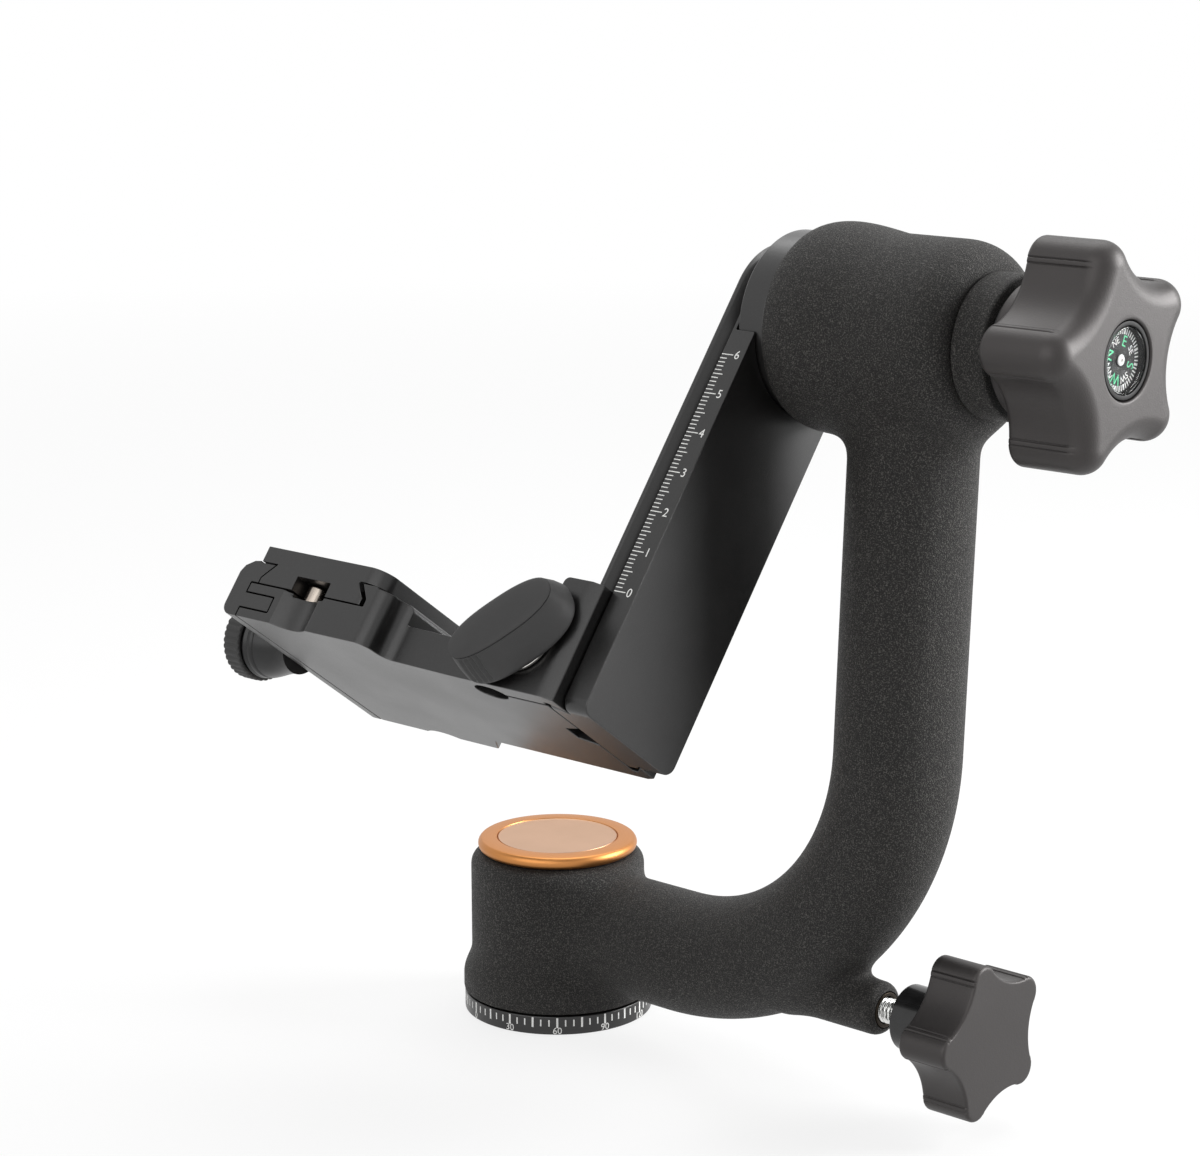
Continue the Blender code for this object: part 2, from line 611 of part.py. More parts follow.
def make_base(finish):
    """Base plate, scale ring, threaded insert, spindle and the screws that join them."""
    screw_hole = screw_profile(
        BASE_SCREW_RADIUS + GAP,
        BASE_SCREW_HEAD_RADIUS + GAP,
        BASE_SCREW_HEAD_HEIGHT + GAP,
        SPINDLE_FLANGE_TOP + OVERRUN,
    )
    screw_holes = []
    for index, place in enumerate(base_screw_places()):
        screw_holes.append(turned(f"cut_base_screw_{index}", screw_hole, steps=SMALL_STEPS, place=place))
    inner = BASE_RADIUS - RING_WALL - GAP
    plate_profile = ring_profile(INSERT_RADIUS + GAP, inner, 0, RING_HEIGHT)
    plate = turned("base_plate", plate_profile, finish["anodised"], LARGE_STEPS)
    combine(plate, screw_holes, "DIFFERENCE")
    ring = ring_profile(BASE_RADIUS - RING_WALL, BASE_RADIUS, 0, RING_HEIGHT, RING_EDGE)
    turned("scale_ring", ring, finish["anodised"], LARGE_STEPS)
    insert = ring_profile(SOCKET_RADIUS, INSERT_RADIUS, 0, SOCKET_DEPTH, RING_EDGE)
    turned("thread_insert", insert, finish["steel"], SMALL_STEPS)
    cavity_top = SOCKET_DEPTH + GAP
    spindle_profile = [
        (0, cavity_top),
        (INSERT_RADIUS + GAP, cavity_top),
        (INSERT_RADIUS + GAP, SPINDLE_BOTTOM),
        (SPINDLE_FLANGE_RADIUS, SPINDLE_BOTTOM),
        (SPINDLE_FLANGE_RADIUS, SPINDLE_FLANGE_TOP),
        (SPINDLE_RADIUS, SPINDLE_FLANGE_TOP),
        (SPINDLE_RADIUS, SPINDLE_SHOULDER),
        (SPINDLE_THREAD_RADIUS, SPINDLE_SHOULDER),
        (SPINDLE_THREAD_RADIUS, SPINDLE_TOP),
        (0, SPINDLE_TOP),
    ]
    spindle = turned("pan_spindle", spindle_profile, finish["steel"], MEDIUM_STEPS)
    combine(spindle, screw_holes, "DIFFERENCE")
    screw = screw_profile(
        BASE_SCREW_RADIUS, BASE_SCREW_HEAD_RADIUS, BASE_SCREW_HEAD_HEIGHT, SPINDLE_FLANGE_TOP - 2 * GAP
    )
    for index, (x, y, z) in enumerate(base_screw_places(), 1):
        turned(f"base_screw_{index}", screw, finish["steel"], SMALL_STEPS, place=(x, y, z + GAP))
    bore = SPINDLE_RADIUS + GAP
    lower = ring_profile(bore, PAN_BEARING_RADIUS, SPINDLE_FLANGE_TOP + GAP, LOWER_BEARING_TOP)
    turned("lower_pan_bearing", lower, finish["steel"], MEDIUM_STEPS)
    upper = ring_profile(bore, UPPER_BEARING_RADIUS, UPPER_BEARING_BOTTOM, UPPER_BEARING_TOP)
    turned("upper_pan_bearing", upper, finish["steel"], MEDIUM_STEPS)
    washer_top = SPRING_WASHER_BOTTOM + SPRING_WASHER_HEIGHT
    thread_hole = SPINDLE_THREAD_RADIUS + GAP
    washer = ring_profile(thread_hole, SPRING_WASHER_RADIUS, SPRING_WASHER_BOTTOM, washer_top)
    turned("pan_spring_washer", washer, finish["steel"], SMALL_STEPS)
    hexagon = ellipse((0, 0), PAN_NUT_RADIUS, PAN_NUT_RADIUS, 6)
    nut = extruded("pan_nut", hexagon, "Z", PAN_NUT_BOTTOM, PAN_NUT_TOP, finish["steel"])
    nut_hole = disc_profile(thread_hole, PAN_NUT_BOTTOM - OVERRUN, PAN_NUT_TOP + OVERRUN)
    combine(nut, [turned("cut_pan_nut", nut_hole, steps=SMALL_STEPS)], "DIFFERENCE")


# Arm

HOUSING_BOTTOM = RING_HEIGHT + GAP
PAN_BORE_RADIUS = PAN_BEARING_RADIUS + GAP
PAN_BORE_TOP = LOWER_BEARING_TOP + GAP
CAP_BOTTOM = HOUSING_TOP + GAP
CAP_TOP = CAP_BOTTOM + CAP_HEIGHT
CAP_ROOF = SPINDLE_TOP + 2 * GAP


def housing_profile():
    """The pan housing's outer shape: a flared foot, a straight wall and a soft shoulder."""
    flare = HOUSING_FLARE_RADIUS - HOUSING_RADIUS
    shoulder_centre = (HOUSING_RADIUS - HOUSING_SHOULDER, HOUSING_TOP - HOUSING_SHOULDER)
    shoulder = arc(shoulder_centre, HOUSING_SHOULDER, 0, 90, 3)
    foot = []
    for step in range(4):
        share = step / 3
        radius = HOUSING_FLARE_RADIUS - flare * (1 - math.cos(math.pi * share)) / 2
        foot.append((radius, HOUSING_BOTTOM + HOUSING_FLARE_HEIGHT * (1 + 2 * share) / 3))
    return [(0, HOUSING_BOTTOM), (HOUSING_RADIUS, HOUSING_BOTTOM)] + foot + shoulder + [(0, HOUSING_TOP)]


def arm_centre(height):
    """The X of the arm tube's centre line in its straight upper leg."""
    return ARM_BEND_END_X + (height - ARM_BEND_END_Z) / math.tan(ARM_BEND_ANGLE)


def arm_rings():
    """Rings of the arm tube from the pan axis round the bend, each square to the centre line."""
    stations = [(0, ARM_RUN_HEIGHT, 0)]
    for step in range(BEND_STEPS + 1):
        angle = ARM_BEND_ANGLE * step / BEND_STEPS
        x = ARM_BEND_START + ARM_BEND_RADIUS * math.sin(angle)
        z = ARM_RUN_HEIGHT + ARM_BEND_RADIUS * (1 - math.cos(angle))
        stations.append((x, z, angle))
    rings = []
    for x, z, angle in stations:
        ring = []
        for across, up in ellipse((0, 0), ARM_TUBE_RADIUS, ARM_TUBE_RADIUS, MEDIUM_STEPS):
            ring.append((x - up * math.sin(angle), across, z + up * math.cos(angle)))
        rings.append(ring)
    return rings


def arm_fillet_rings():
    """Rings that spread the tube into the hub: a fillet that follows the hub's underside."""
    radii, places = zip(*hub_profile())
    rings = []
    for step in range(FILLET_STEPS + 1):
        angle = math.pi / 2 * step / FILLET_STEPS
        spread = ARM_TUBE_RADIUS + ARM_FILLET * (1 - math.cos(angle))
        rise = ARM_SINK * step / FILLET_STEPS - ARM_FILLET * (1 - math.sin(angle))
        ring = []
        for across, up in ellipse((0, 0), spread, spread, MEDIUM_STEPS):
            x = arm_centre(TILT_AXIS_HEIGHT - HUB_RADIUS) - up
            radius = np.interp(x, places[1:-1], radii[1:-1])
            ring.append((x, across, TILT_AXIS_HEIGHT - math.sqrt(radius ** 2 - across ** 2) + rise))
        rings.append(ring)
    end = TILT_AXIS_HEIGHT - ARM_END_DEPTH
    inside = ellipse((0, 0), ARM_TUBE_RADIUS, ARM_TUBE_RADIUS, MEDIUM_STEPS)
    rings.append([(arm_centre(end) - up, across, end) for across, up in inside])
    return rings


def hub_profile():
    """The tilt hub along its axis: a bulge, a straight barrel and a rounded outer shoulder."""
    profile = [(0, HUB_START), (FLANGE_RADIUS, HUB_START)]
    steps = 5
    for step in range(1, steps + 1):
        share = step / steps
        rise = math.sin(math.pi * (HUB_START_SHARE + (1 - HUB_START_SHARE) * share))
        base = FLANGE_RADIUS + (HUB_RADIUS - FLANGE_RADIUS) * share
        radius = base + (HUB_BULGE_RADIUS - HUB_RADIUS) * rise
        profile.append((radius, HUB_START + HUB_BULGE_LENGTH * share ** 1.5))
    shoulder_start = HUB_END - HUB_SHOULDER_LENGTH
    for step in range(5):
        angle = math.pi / 2 * step / 4
        radius = HUB_RADIUS - HUB_SHOULDER_DROP * (1 - math.cos(angle))
        profile.append((radius, shoulder_start + HUB_SHOULDER_LENGTH * math.sin(angle)))
    return profile + [(0, HUB_END)]


def hub_bore_profile():
    """The stepped bore through the hub, open at both ends."""
    inner_end = INNER_BEARING_START + INNER_BEARING_WIDTH + GAP
    outer_start = OUTER_BEARING_START - GAP
    return [
        (0, HUB_START - OVERRUN),
        (INNER_BEARING_RADIUS + GAP, HUB_START - OVERRUN),
        (INNER_BEARING_RADIUS + GAP, inner_end),
        (HUB_CLEARANCE_RADIUS, inner_end),
        (HUB_CLEARANCE_RADIUS, outer_start),
        (OUTER_BEARING_RADIUS + GAP, outer_start),
        (OUTER_BEARING_RADIUS + GAP, HUB_END + OVERRUN),
        (0, HUB_END + OVERRUN),
    ]


def pan_bore_profile():
    """The stepped bore up through the pan housing."""
    return [
        (0, HOUSING_BOTTOM - OVERRUN),
        (PAN_BORE_RADIUS, HOUSING_BOTTOM - OVERRUN),
        (PAN_BORE_RADIUS, PAN_BORE_TOP),
        (SPINDLE_CLEARANCE_RADIUS, PAN_BORE_TOP),
        (SPINDLE_CLEARANCE_RADIUS, UPPER_BEARING_SEAT),
        (UPPER_BEARING_RADIUS + GAP, UPPER_BEARING_SEAT),
        (UPPER_BEARING_RADIUS + GAP, HOUSING_TOP + OVERRUN),
        (0, HOUSING_TOP + OVERRUN),
    ]


def make_arm(finish):
    """The one-piece cast arm, its cap, its bearings and its collar."""
    hub_place = (0, 0, TILT_AXIS_HEIGHT)
    run_place = (0, 0, ARM_RUN_HEIGHT)
    arm = turned("arm", housing_profile(), finish["powder"], LARGE_STEPS)
    tube = lofted("join_arm_tube", arm_rings() + arm_fillet_rings())
    hub = turned("join_arm_hub", hub_profile(), steps=LARGE_STEPS, place=hub_place, turn=ALONG_X)
    boss_profile = [(0, BOSS_ROOT), (BOSS_RADIUS, BOSS_ROOT)]
    boss_profile += arc((BOSS_RADIUS - BOSS_ROUND, BOSS_END - BOSS_ROUND), BOSS_ROUND, 0, 80, 3)
    boss_profile += [(BOSS_RADIUS - BOSS_ROUND, BOSS_END), (0, BOSS_END)]
    boss = turned("join_arm_boss", boss_profile, steps=SMALL_STEPS, place=run_place, turn=ALONG_X)
    combine(arm, [tube, hub, boss], "UNION")
    pan_bore = turned("cut_pan_bore", pan_bore_profile(), steps=LARGE_STEPS)
    hub_bore = turned("cut_hub_bore", hub_bore_profile(), steps=LARGE_STEPS, place=hub_place, turn=ALONG_X)
    bushing_start = BOSS_END - BUSHING_LENGTH
    rod_bore_profile = [
        (0, 0),
        (STUD_RADIUS + GAP, 0),
        (STUD_RADIUS + GAP, bushing_start - GAP),
        (BUSHING_RADIUS + GAP, bushing_start - GAP),
        (BUSHING_RADIUS + GAP, BOSS_END + OVERRUN),
        (0, BOSS_END + OVERRUN),
    ]
    rod_bore = turned("cut_rod_bore", rod_bore_profile, steps=SMALL_STEPS, place=run_place, turn=ALONG_X)
    combine(arm, [pan_bore, rod_bore, hub_bore], "DIFFERENCE", "MANIFOLD")

    bushing = ring_profile(STUD_RADIUS + GAP, BUSHING_RADIUS, bushing_start, BOSS_END)
    turned("stud_bushing", bushing, finish["brass"], SMALL_STEPS, place=run_place, turn=ALONG_X)
    edge_height = CAP_TOP - CAP_EDGE
    spigot = UPPER_BEARING_RADIUS
    cap_profile = [
        (0, CAP_ROOF),
        (spigot - CAP_WALL, CAP_ROOF),
        (spigot - CAP_WALL, CAP_BOTTOM - CAP_SPIGOT_HEIGHT),
        (spigot, CAP_BOTTOM - CAP_SPIGOT_HEIGHT),
        (spigot, CAP_BOTTOM),
        (CAP_RADIUS, CAP_BOTTOM),
    ]
    cap_profile += arc((CAP_RADIUS - CAP_EDGE, edge_height), CAP_EDGE, 0, 90, 3)
    cap_profile.append((CAP_STEP_RADIUS, CAP_TOP))
    cap_profile.append((CAP_STEP_RADIUS - CAP_STEP, CAP_TOP - CAP_STEP))
    cap_profile.append((0, CAP_TOP - CAP_STEP))
    turned("pan_cap", cap_profile, finish["gold"], LARGE_STEPS)

    inner_end = INNER_BEARING_START + INNER_BEARING_WIDTH
    inner = ring_profile(AXLE_RADIUS + GAP, INNER_BEARING_RADIUS, INNER_BEARING_START, inner_end)
    turned("inner_tilt_bearing", inner, finish["steel"], MEDIUM_STEPS, place=hub_place, turn=ALONG_X)
    outer_end = OUTER_BEARING_START + OUTER_BEARING_WIDTH
    outer = ring_profile(AXLE_RADIUS + GAP, OUTER_BEARING_RADIUS, OUTER_BEARING_START, outer_end)
    turned("outer_tilt_bearing", outer, finish["steel"], MEDIUM_STEPS, place=hub_place, turn=ALONG_X)
    collar_start = HUB_END + GAP
    collar_profile = [
        (AXLE_RADIUS + GAP, collar_start - COLLAR_SPIGOT),
        (OUTER_BEARING_RADIUS, collar_start - COLLAR_SPIGOT),
        (OUTER_BEARING_RADIUS, collar_start),
        (COLLAR_RADIUS, collar_start),
        (COLLAR_RADIUS, COLLAR_END - COLLAR_EDGE),
        (COLLAR_RADIUS - COLLAR_EDGE, COLLAR_END),
        (AXLE_RADIUS + GAP, COLLAR_END),
    ]
    turned("tilt_collar", collar_profile, finish["powder"], LARGE_STEPS, place=hub_place, turn=ALONG_X)


# Pan lock

PAN_KNOB_BORE_END = PAN_KNOB_START + PAN_KNOB_STUD_GRIP
STUD_END = PAN_KNOB_BORE_END - GAP
STUD_START = STUD_END - STUD_LENGTH
BRAKE_SHOE_START = SPINDLE_RADIUS + GAP
BRAKE_SHOE_END = BRAKE_SHOE_START + BRAKE_SHOE_LENGTH
PUSH_ROD_START = BRAKE_SHOE_END + GAP
PUSH_ROD_END = STUD_START - GAP


def lobed_knob(name, levels, tip, waist, lobe_round, phase, surface, place):
    """A lobed knob along +X through (inset, x) levels."""
    rings = []
    for inset, level in levels:
        rings.append(lobed_ring(tip, waist, lobe_round, inset, level, phase + math.pi / 2))
    return lofted(name, rings, surface, place=place, turn=ALONG_X)


def make_pan_lock(finish):
    """The star knob on its stud, and the rod and shoe that it drives onto the spindle."""
    place = (0, 0, ARM_RUN_HEIGHT)
    shoe = disc_profile(STUD_RADIUS, BRAKE_SHOE_START, BRAKE_SHOE_END)
    turned("pan_brake_shoe", shoe, finish["brass"], SMALL_STEPS, place=place, turn=ALONG_X)
    rod = disc_profile(STUD_RADIUS, PUSH_ROD_START, PUSH_ROD_END)
    turned("pan_push_rod", rod, finish["steel"], SMALL_STEPS, place=place, turn=ALONG_X)
    stud = disc_profile(STUD_RADIUS, STUD_START, STUD_END)
    turned("pan_stud", stud, finish["zinc"], SMALL_STEPS, place=place, turn=ALONG_X)
    levels = [
        (PAN_KNOB_EDGE, PAN_KNOB_LOBES_START),
        (0, PAN_KNOB_LOBES_START + PAN_KNOB_EDGE),
        (0, PAN_KNOB_FACE - PAN_KNOB_EDGE),
        (PAN_KNOB_EDGE, PAN_KNOB_FACE),
    ]
    knob = lobed_knob(
        "pan_knob", levels, PAN_KNOB_RADIUS, PAN_KNOB_WAIST_RADIUS, PAN_KNOB_LOBE_ROUND, PAN_KNOB_TURN,
        finish["plastic"], place,
    )
    hub_profile_points = disc_profile(
        PAN_KNOB_HUB_RADIUS, PAN_KNOB_START, PAN_KNOB_LOBES_START + OVERRUN, RING_EDGE
    )
    hub = turned("join_pan_knob_hub", hub_profile_points, steps=MEDIUM_STEPS, place=place, turn=ALONG_X)
    combine(knob, [hub], "UNION")
    bore_profile = disc_profile(STUD_RADIUS + GAP, PAN_KNOB_START - OVERRUN, PAN_KNOB_BORE_END)
    bore = turned("cut_pan_knob", bore_profile, steps=SMALL_STEPS, place=place, turn=ALONG_X)
    combine(knob, [bore], "DIFFERENCE")


# Tilt axle, flange and rail

FLANGE_END = FLANGE_START + FLANGE_THICKNESS
AXLE_START = FLANGE_START + FLANGE_WEB
RAIL_SLAB_INNER = RAIL_OUTER - RAIL_SLAB_THICKNESS
RAIL_HALF_WIDTH = RAIL_WIDTH / 2
POCKET_FLOOR = FLANGE_START - GAP


def flange_screw_places():
    """Where the flange screws lie round the tilt axis, as (y, z)."""
    places = []
    for index in range(FLANGE_SCREWS):
        angle = FULL_TURN * (index + 0.5) / FLANGE_SCREWS
        places.append((FLANGE_SCREW_CIRCLE * math.cos(angle), FLANGE_SCREW_CIRCLE * math.sin(angle)))
    return places


def flange_screw_profile(extra, overrun):
    """A socket screw from the rail's inner face into the flange, grown by extra all round."""
    head_start = RAIL_INNER + GAP - overrun
    head_end = RAIL_INNER + GAP + FLANGE_SCREW_HEAD_HEIGHT + extra
    tip = POCKET_FLOOR + GAP + FLANGE_SCREW_GRIP + extra
    return [
        (0, head_start),
        (FLANGE_SCREW_HEAD_RADIUS + extra, head_start),
        (FLANGE_SCREW_HEAD_RADIUS + extra, head_end),
        (FLANGE_SCREW_RADIUS + extra, head_end),
        (FLANGE_SCREW_RADIUS + extra, tip),
        (0, tip),
    ]


def make_axle(finish, swing):
    """The axle, the flange that it carries, and the bolt and screws that hold them."""
    thread_start = COLLAR_END - GAP
    axle_profile = [
        (0, AXLE_START),
        (AXLE_RADIUS, AXLE_START),
        (AXLE_RADIUS, thread_start),
        (AXLE_THREAD_RADIUS, thread_start),
        (AXLE_THREAD_RADIUS, AXLE_END),
        (0, AXLE_END),
    ]
    bolt_start = FLANGE_START + GAP
    bolt_end = bolt_start + AXLE_BOLT_LENGTH
    bolt_profile = [
        (0, bolt_start),
        (AXLE_BOLT_HEAD_RADIUS, bolt_start),
        (AXLE_BOLT_RADIUS, bolt_start + AXLE_BOLT_HEAD_HEIGHT),
        (AXLE_BOLT_RADIUS, bolt_end),
        (0, bolt_end),
    ]
    bolt_hole_profile = [
        (0, FLANGE_START - OVERRUN),
        (AXLE_BOLT_HEAD_RADIUS + GAP, FLANGE_START - OVERRUN),
        (AXLE_BOLT_HEAD_RADIUS + GAP, bolt_start),
        (AXLE_BOLT_RADIUS + GAP, bolt_start + AXLE_BOLT_HEAD_HEIGHT),
        (AXLE_BOLT_RADIUS + GAP, bolt_end + GAP),
        (0, bolt_end + GAP),
    ]
    bolt_hole = turned("cut_axle_bolt", bolt_hole_profile, steps=SMALL_STEPS, parent=swing, turn=ALONG_X)
    axle = turned("tilt_axle", axle_profile, finish["steel"], MEDIUM_STEPS, swing, turn=ALONG_X)
    combine(axle, [bolt_hole], "DIFFERENCE")
    turned("axle_bolt", bolt_profile, finish["black_steel"], SMALL_STEPS, swing, turn=ALONG_X)

    spigot_end = INNER_BEARING_START - GAP
    flange_profile = [
        (0, FLANGE_START),
        (FLANGE_RADIUS - COLLAR_EDGE, FLANGE_START),
        (FLANGE_RADIUS, FLANGE_START + COLLAR_EDGE),
        (FLANGE_RADIUS, FLANGE_END),
        (FLANGE_SPIGOT_RADIUS, FLANGE_END),
        (FLANGE_SPIGOT_RADIUS, spigot_end),
        (0, spigot_end),
    ]
    flange = turned("tilt_flange", flange_profile, finish["anodised"], LARGE_STEPS, swing, turn=ALONG_X)
    seat = disc_profile(AXLE_RADIUS + GAP, AXLE_START - GAP, spigot_end + OVERRUN)
    cuts = [bolt_hole, turned("cut_axle_seat", seat, steps=MEDIUM_STEPS, parent=swing, turn=ALONG_X)]
    for index, (y, z) in enumerate(flange_screw_places(), 1):
        hole = turned(
            f"cut_flange_screw_{index}", flange_screw_profile(GAP, OVERRUN), steps=SMALL_STEPS,
            parent=swing, place=(0, y, z), turn=ALONG_X,
        )
        turned(
            f"flange_screw_{index}", flange_screw_profile(0, 0), finish["black_steel"], SMALL_STEPS,
            swing, (0, y, z), ALONG_X,
        )
        cuts.append(hole)
    combine(flange, cuts, "DIFFERENCE")
    return cuts[2:]


def rail_outline():
    """The rail seen along X: rounded lower corners and a half circle round the tilt axis."""
    inner = RAIL_HALF_WIDTH - RAIL_CORNER
    base = RAIL_BOTTOM + RAIL_CORNER
    outline = arc((-inner, base), RAIL_CORNER, 180, 270, 3)
    outline += arc((inner, base), RAIL_CORNER, 270, 360, 3)
    outline += arc((0, 0), RAIL_HALF_WIDTH, 0, 180, 20)
    return outline


def notch_outline(side):
    """The dovetail undercut on one side of the rail, as (x, y)."""
    lip = RAIL_INNER + DOVETAIL_LIP
    edge = side * RAIL_HALF_WIDTH
    outside = side * (RAIL_HALF_WIDTH + OVERRUN)
    root = side * (RAIL_HALF_WIDTH - DOVETAIL_DEPTH)
    return [(lip, edge), (RAIL_SLAB_INNER, root), (RAIL_SLAB_INNER, outside), (lip, outside)]


def make_rail(finish, swing, screw_holes):
    """The dovetail rail, with a round pocket for the flange."""
    rail = extruded(
        "swing_rail", rail_outline(), "X", RAIL_INNER, RAIL_OUTER, finish["anodised"], swing, RAIL_EDGE
    )
    low = RAIL_BOTTOM - OVERRUN
    high = RAIL_HALF_WIDTH + OVERRUN
    left = extruded("cut_rail_front", notch_outline(-1), "Z", low, high, parent=swing)
    right = extruded("cut_rail_back", notch_outline(1), "Z", low, high, parent=swing)
    pocket_profile = disc_profile(FLANGE_RADIUS + GAP, POCKET_FLOOR, RAIL_OUTER + OVERRUN)
    pocket = turned("cut_rail_pocket", pocket_profile, steps=LARGE_STEPS, parent=swing, turn=ALONG_X)
    combine(rail, [left, right, pocket] + screw_holes, "DIFFERENCE")


# Tilt knob and compass

KNOB_BOSS_START = COLLAR_END + 2 * GAP + FRICTION_WASHER_THICKNESS


def make_tilt_knob(finish):
    """The large knob, its insert, the friction washer and the compass in its face."""
    place = (0, 0, TILT_AXIS_HEIGHT)
    washer_start = COLLAR_END + GAP
    washer = ring_profile(
        AXLE_THREAD_RADIUS + GAP,
        FRICTION_WASHER_RADIUS,
        washer_start,
        washer_start + FRICTION_WASHER_THICKNESS,
    )
    turned("tilt_friction_washer", washer, finish["rubber"], MEDIUM_STEPS, place=place, turn=ALONG_X)
    levels = []
    for inset_share, rise_share in TILT_KNOB_BACK_SHARES:
        rise = TILT_KNOB_BACK_EDGE * rise_share
        levels.append((TILT_KNOB_BACK_EDGE * inset_share, TILT_KNOB_BACK + rise))
    for inset_share, drop_share in TILT_KNOB_FACE_SHARES:
        drop = TILT_KNOB_FACE_EDGE * drop_share
        levels.append((TILT_KNOB_FACE_EDGE * inset_share, TILT_KNOB_FACE - drop))
    knob = lobed_knob(
        "tilt_knob", levels, TILT_KNOB_RADIUS, TILT_KNOB_WAIST_RADIUS, TILT_KNOB_LOBE_ROUND, TILT_KNOB_TURN,
        finish["plastic"], place,
    )
    boss = disc_profile(TILT_KNOB_BOSS_RADIUS, KNOB_BOSS_START, TILT_KNOB_BACK + OVERRUN, RING_EDGE)
    combine(knob, [turned("join_tilt_knob_boss", boss, place=place, turn=ALONG_X)], "UNION")
    insert_end = KNOB_BOSS_START + TILT_INSERT_LENGTH
    bore = disc_profile(TILT_INSERT_RADIUS + GAP, KNOB_BOSS_START - OVERRUN, insert_end + GAP)
    recess_floor = TILT_KNOB_FACE - COMPASS_RECESS_DEPTH
    recess = disc_profile(COMPASS_RECESS_RADIUS, recess_floor, TILT_KNOB_FACE + OVERRUN)
    cuts = [
        turned("cut_tilt_insert", bore, place=place, turn=ALONG_X),
        turned("cut_compass", recess, place=place, turn=ALONG_X),
    ]
    combine(knob, cuts, "DIFFERENCE")
    insert = ring_profile(AXLE_THREAD_RADIUS + GAP, TILT_INSERT_RADIUS, KNOB_BOSS_START, insert_end)
    turned("tilt_knob_insert", insert, finish["brass"], SMALL_STEPS, place=place, turn=ALONG_X)

    outer = COMPASS_RECESS_RADIUS - GAP
    inner = outer - COMPASS_WALL
    bowl_floor = recess_floor + GAP
    bowl_top = TILT_KNOB_FACE - COMPASS_RIM_DROP
    card_floor = bowl_floor + COMPASS_WALL
    bowl = [
        (0, bowl_floor),
        (outer, bowl_floor),
        (outer, bowl_top),
        (inner, bowl_top),
        (inner, card_floor),
        (0, card_floor),
    ]
    turned("compass_bowl", bowl, finish["card"], MEDIUM_STEPS, place=place, turn=ALONG_X)
    pivot_start = card_floor + GAP
    pivot = disc_profile(COMPASS_PIVOT_RADIUS, pivot_start, pivot_start + COMPASS_PIVOT_HEIGHT)
    turned("compass_pivot", pivot, finish["chrome"], SMALL_STEPS, place=place, turn=ALONG_X)
    card_start = card_floor + COMPASS_CARD_LIFT
    card = ring_profile(
        COMPASS_PIVOT_RADIUS + GAP, inner - GAP, card_start, card_start + COMPASS_CARD_THICKNESS
    )
    turned("compass_card", card, finish["card"], MEDIUM_STEPS, place=place, turn=ALONG_X)
    glass_start = pivot_start + COMPASS_PIVOT_HEIGHT + GAP
    glass = disc_profile(inner - GAP, glass_start, glass_start + COMPASS_GLASS_THICKNESS)
    turned("compass_glass", glass, finish["glass"], MEDIUM_STEPS, place=place, turn=ALONG_X)


# Platform

CHANNEL_FLOOR = RAIL_INNER - GAP
PLATE_LEFT = PLATE_CENTRE - PLATE_HALF_WIDTH
PLATE_RIGHT = PLATE_CENTRE + PLATE_HALF_WIDTH
PLATE_FLANGE_BOTTOM = PLATE_TOP - PLATE_FLANGE_THICKNESS
PLATE_SLOPE_BOTTOM = PLATE_FLANGE_BOTTOM - PLATE_SLOPE_HEIGHT
JAW_HOOK_TOP = PLATE_FLANGE_BOTTOM - GAP


def seat_corners(bed):
    """One side of the dovetail seat, a gap off the plate, as (half width, height) points."""
    lean = (PLATE_FOOT_HALF_WIDTH - PLATE_NECK_HALF_WIDTH) / PLATE_SLOPE_HEIGHT
    away = GAP * math.hypot(1, lean)
    neck = PLATE_NECK_HALF_WIDTH + lean * GAP + away
    foot = PLATE_FOOT_HALF_WIDTH + GAP
    drop = (foot - PLATE_NECK_HALF_WIDTH - away) / lean
    return [(neck, JAW_HOOK_TOP), (foot, PLATE_FLANGE_BOTTOM - drop), (foot, bed)]


def platform_side():
    """The platform seen along Y: clamp bed, fixed jaw, leg and slider block."""
    slot_end = TONGUE_END + GAP
    block_corner = (SLIDER_BLOCK_START + SLIDER_BLOCK_ROUND, SLIDER_BLOCK_TOP - SLIDER_BLOCK_ROUND)
    bar_corner = (SLIDER_BAR_START + SLIDER_BAR_ROUND, SLIDER_TOP - SLIDER_BAR_ROUND)
    wall_corner = (JAW_WALL_END - JAW_WALL_ROUND, JAW_WALL_TOP - JAW_WALL_ROUND)
    outline = [
        (CLAMP_START, PLATFORM_BOTTOM),
        (CHANNEL_FLOOR, PLATFORM_BOTTOM),
        (CHANNEL_FLOOR, SLIDER_TOP),
    ]
    outline += arc(bar_corner, SLIDER_BAR_ROUND, 90, 180, 3)
    outline += [(SLIDER_BAR_START, SLIDER_BLOCK_TOP)]
    outline += arc(block_corner, SLIDER_BLOCK_ROUND, 90, 180, 4)
    outline += [(SLIDER_BLOCK_START, LEG_TOP), (JAW_WALL_END, LEG_TOP)]
    outline += arc(wall_corner, JAW_WALL_ROUND, 0, 90, 2)
    outline += [
        (PLATE_RIGHT + GAP, JAW_WALL_TOP),
        (PLATE_RIGHT - GAP, JAW_HOOK_TOP),
    ]
    outline += [(PLATE_CENTRE + half, height) for half, height in seat_corners(BED_TOP)]
    outline += [
        (CLAMP_START, BED_TOP),
        (CLAMP_START, TONGUE_TOP + GAP),
        (slot_end, TONGUE_TOP + GAP),
        (slot_end, TONGUE_BOTTOM - GAP),
        (CLAMP_START, TONGUE_BOTTOM - GAP),
    ]
    return outline


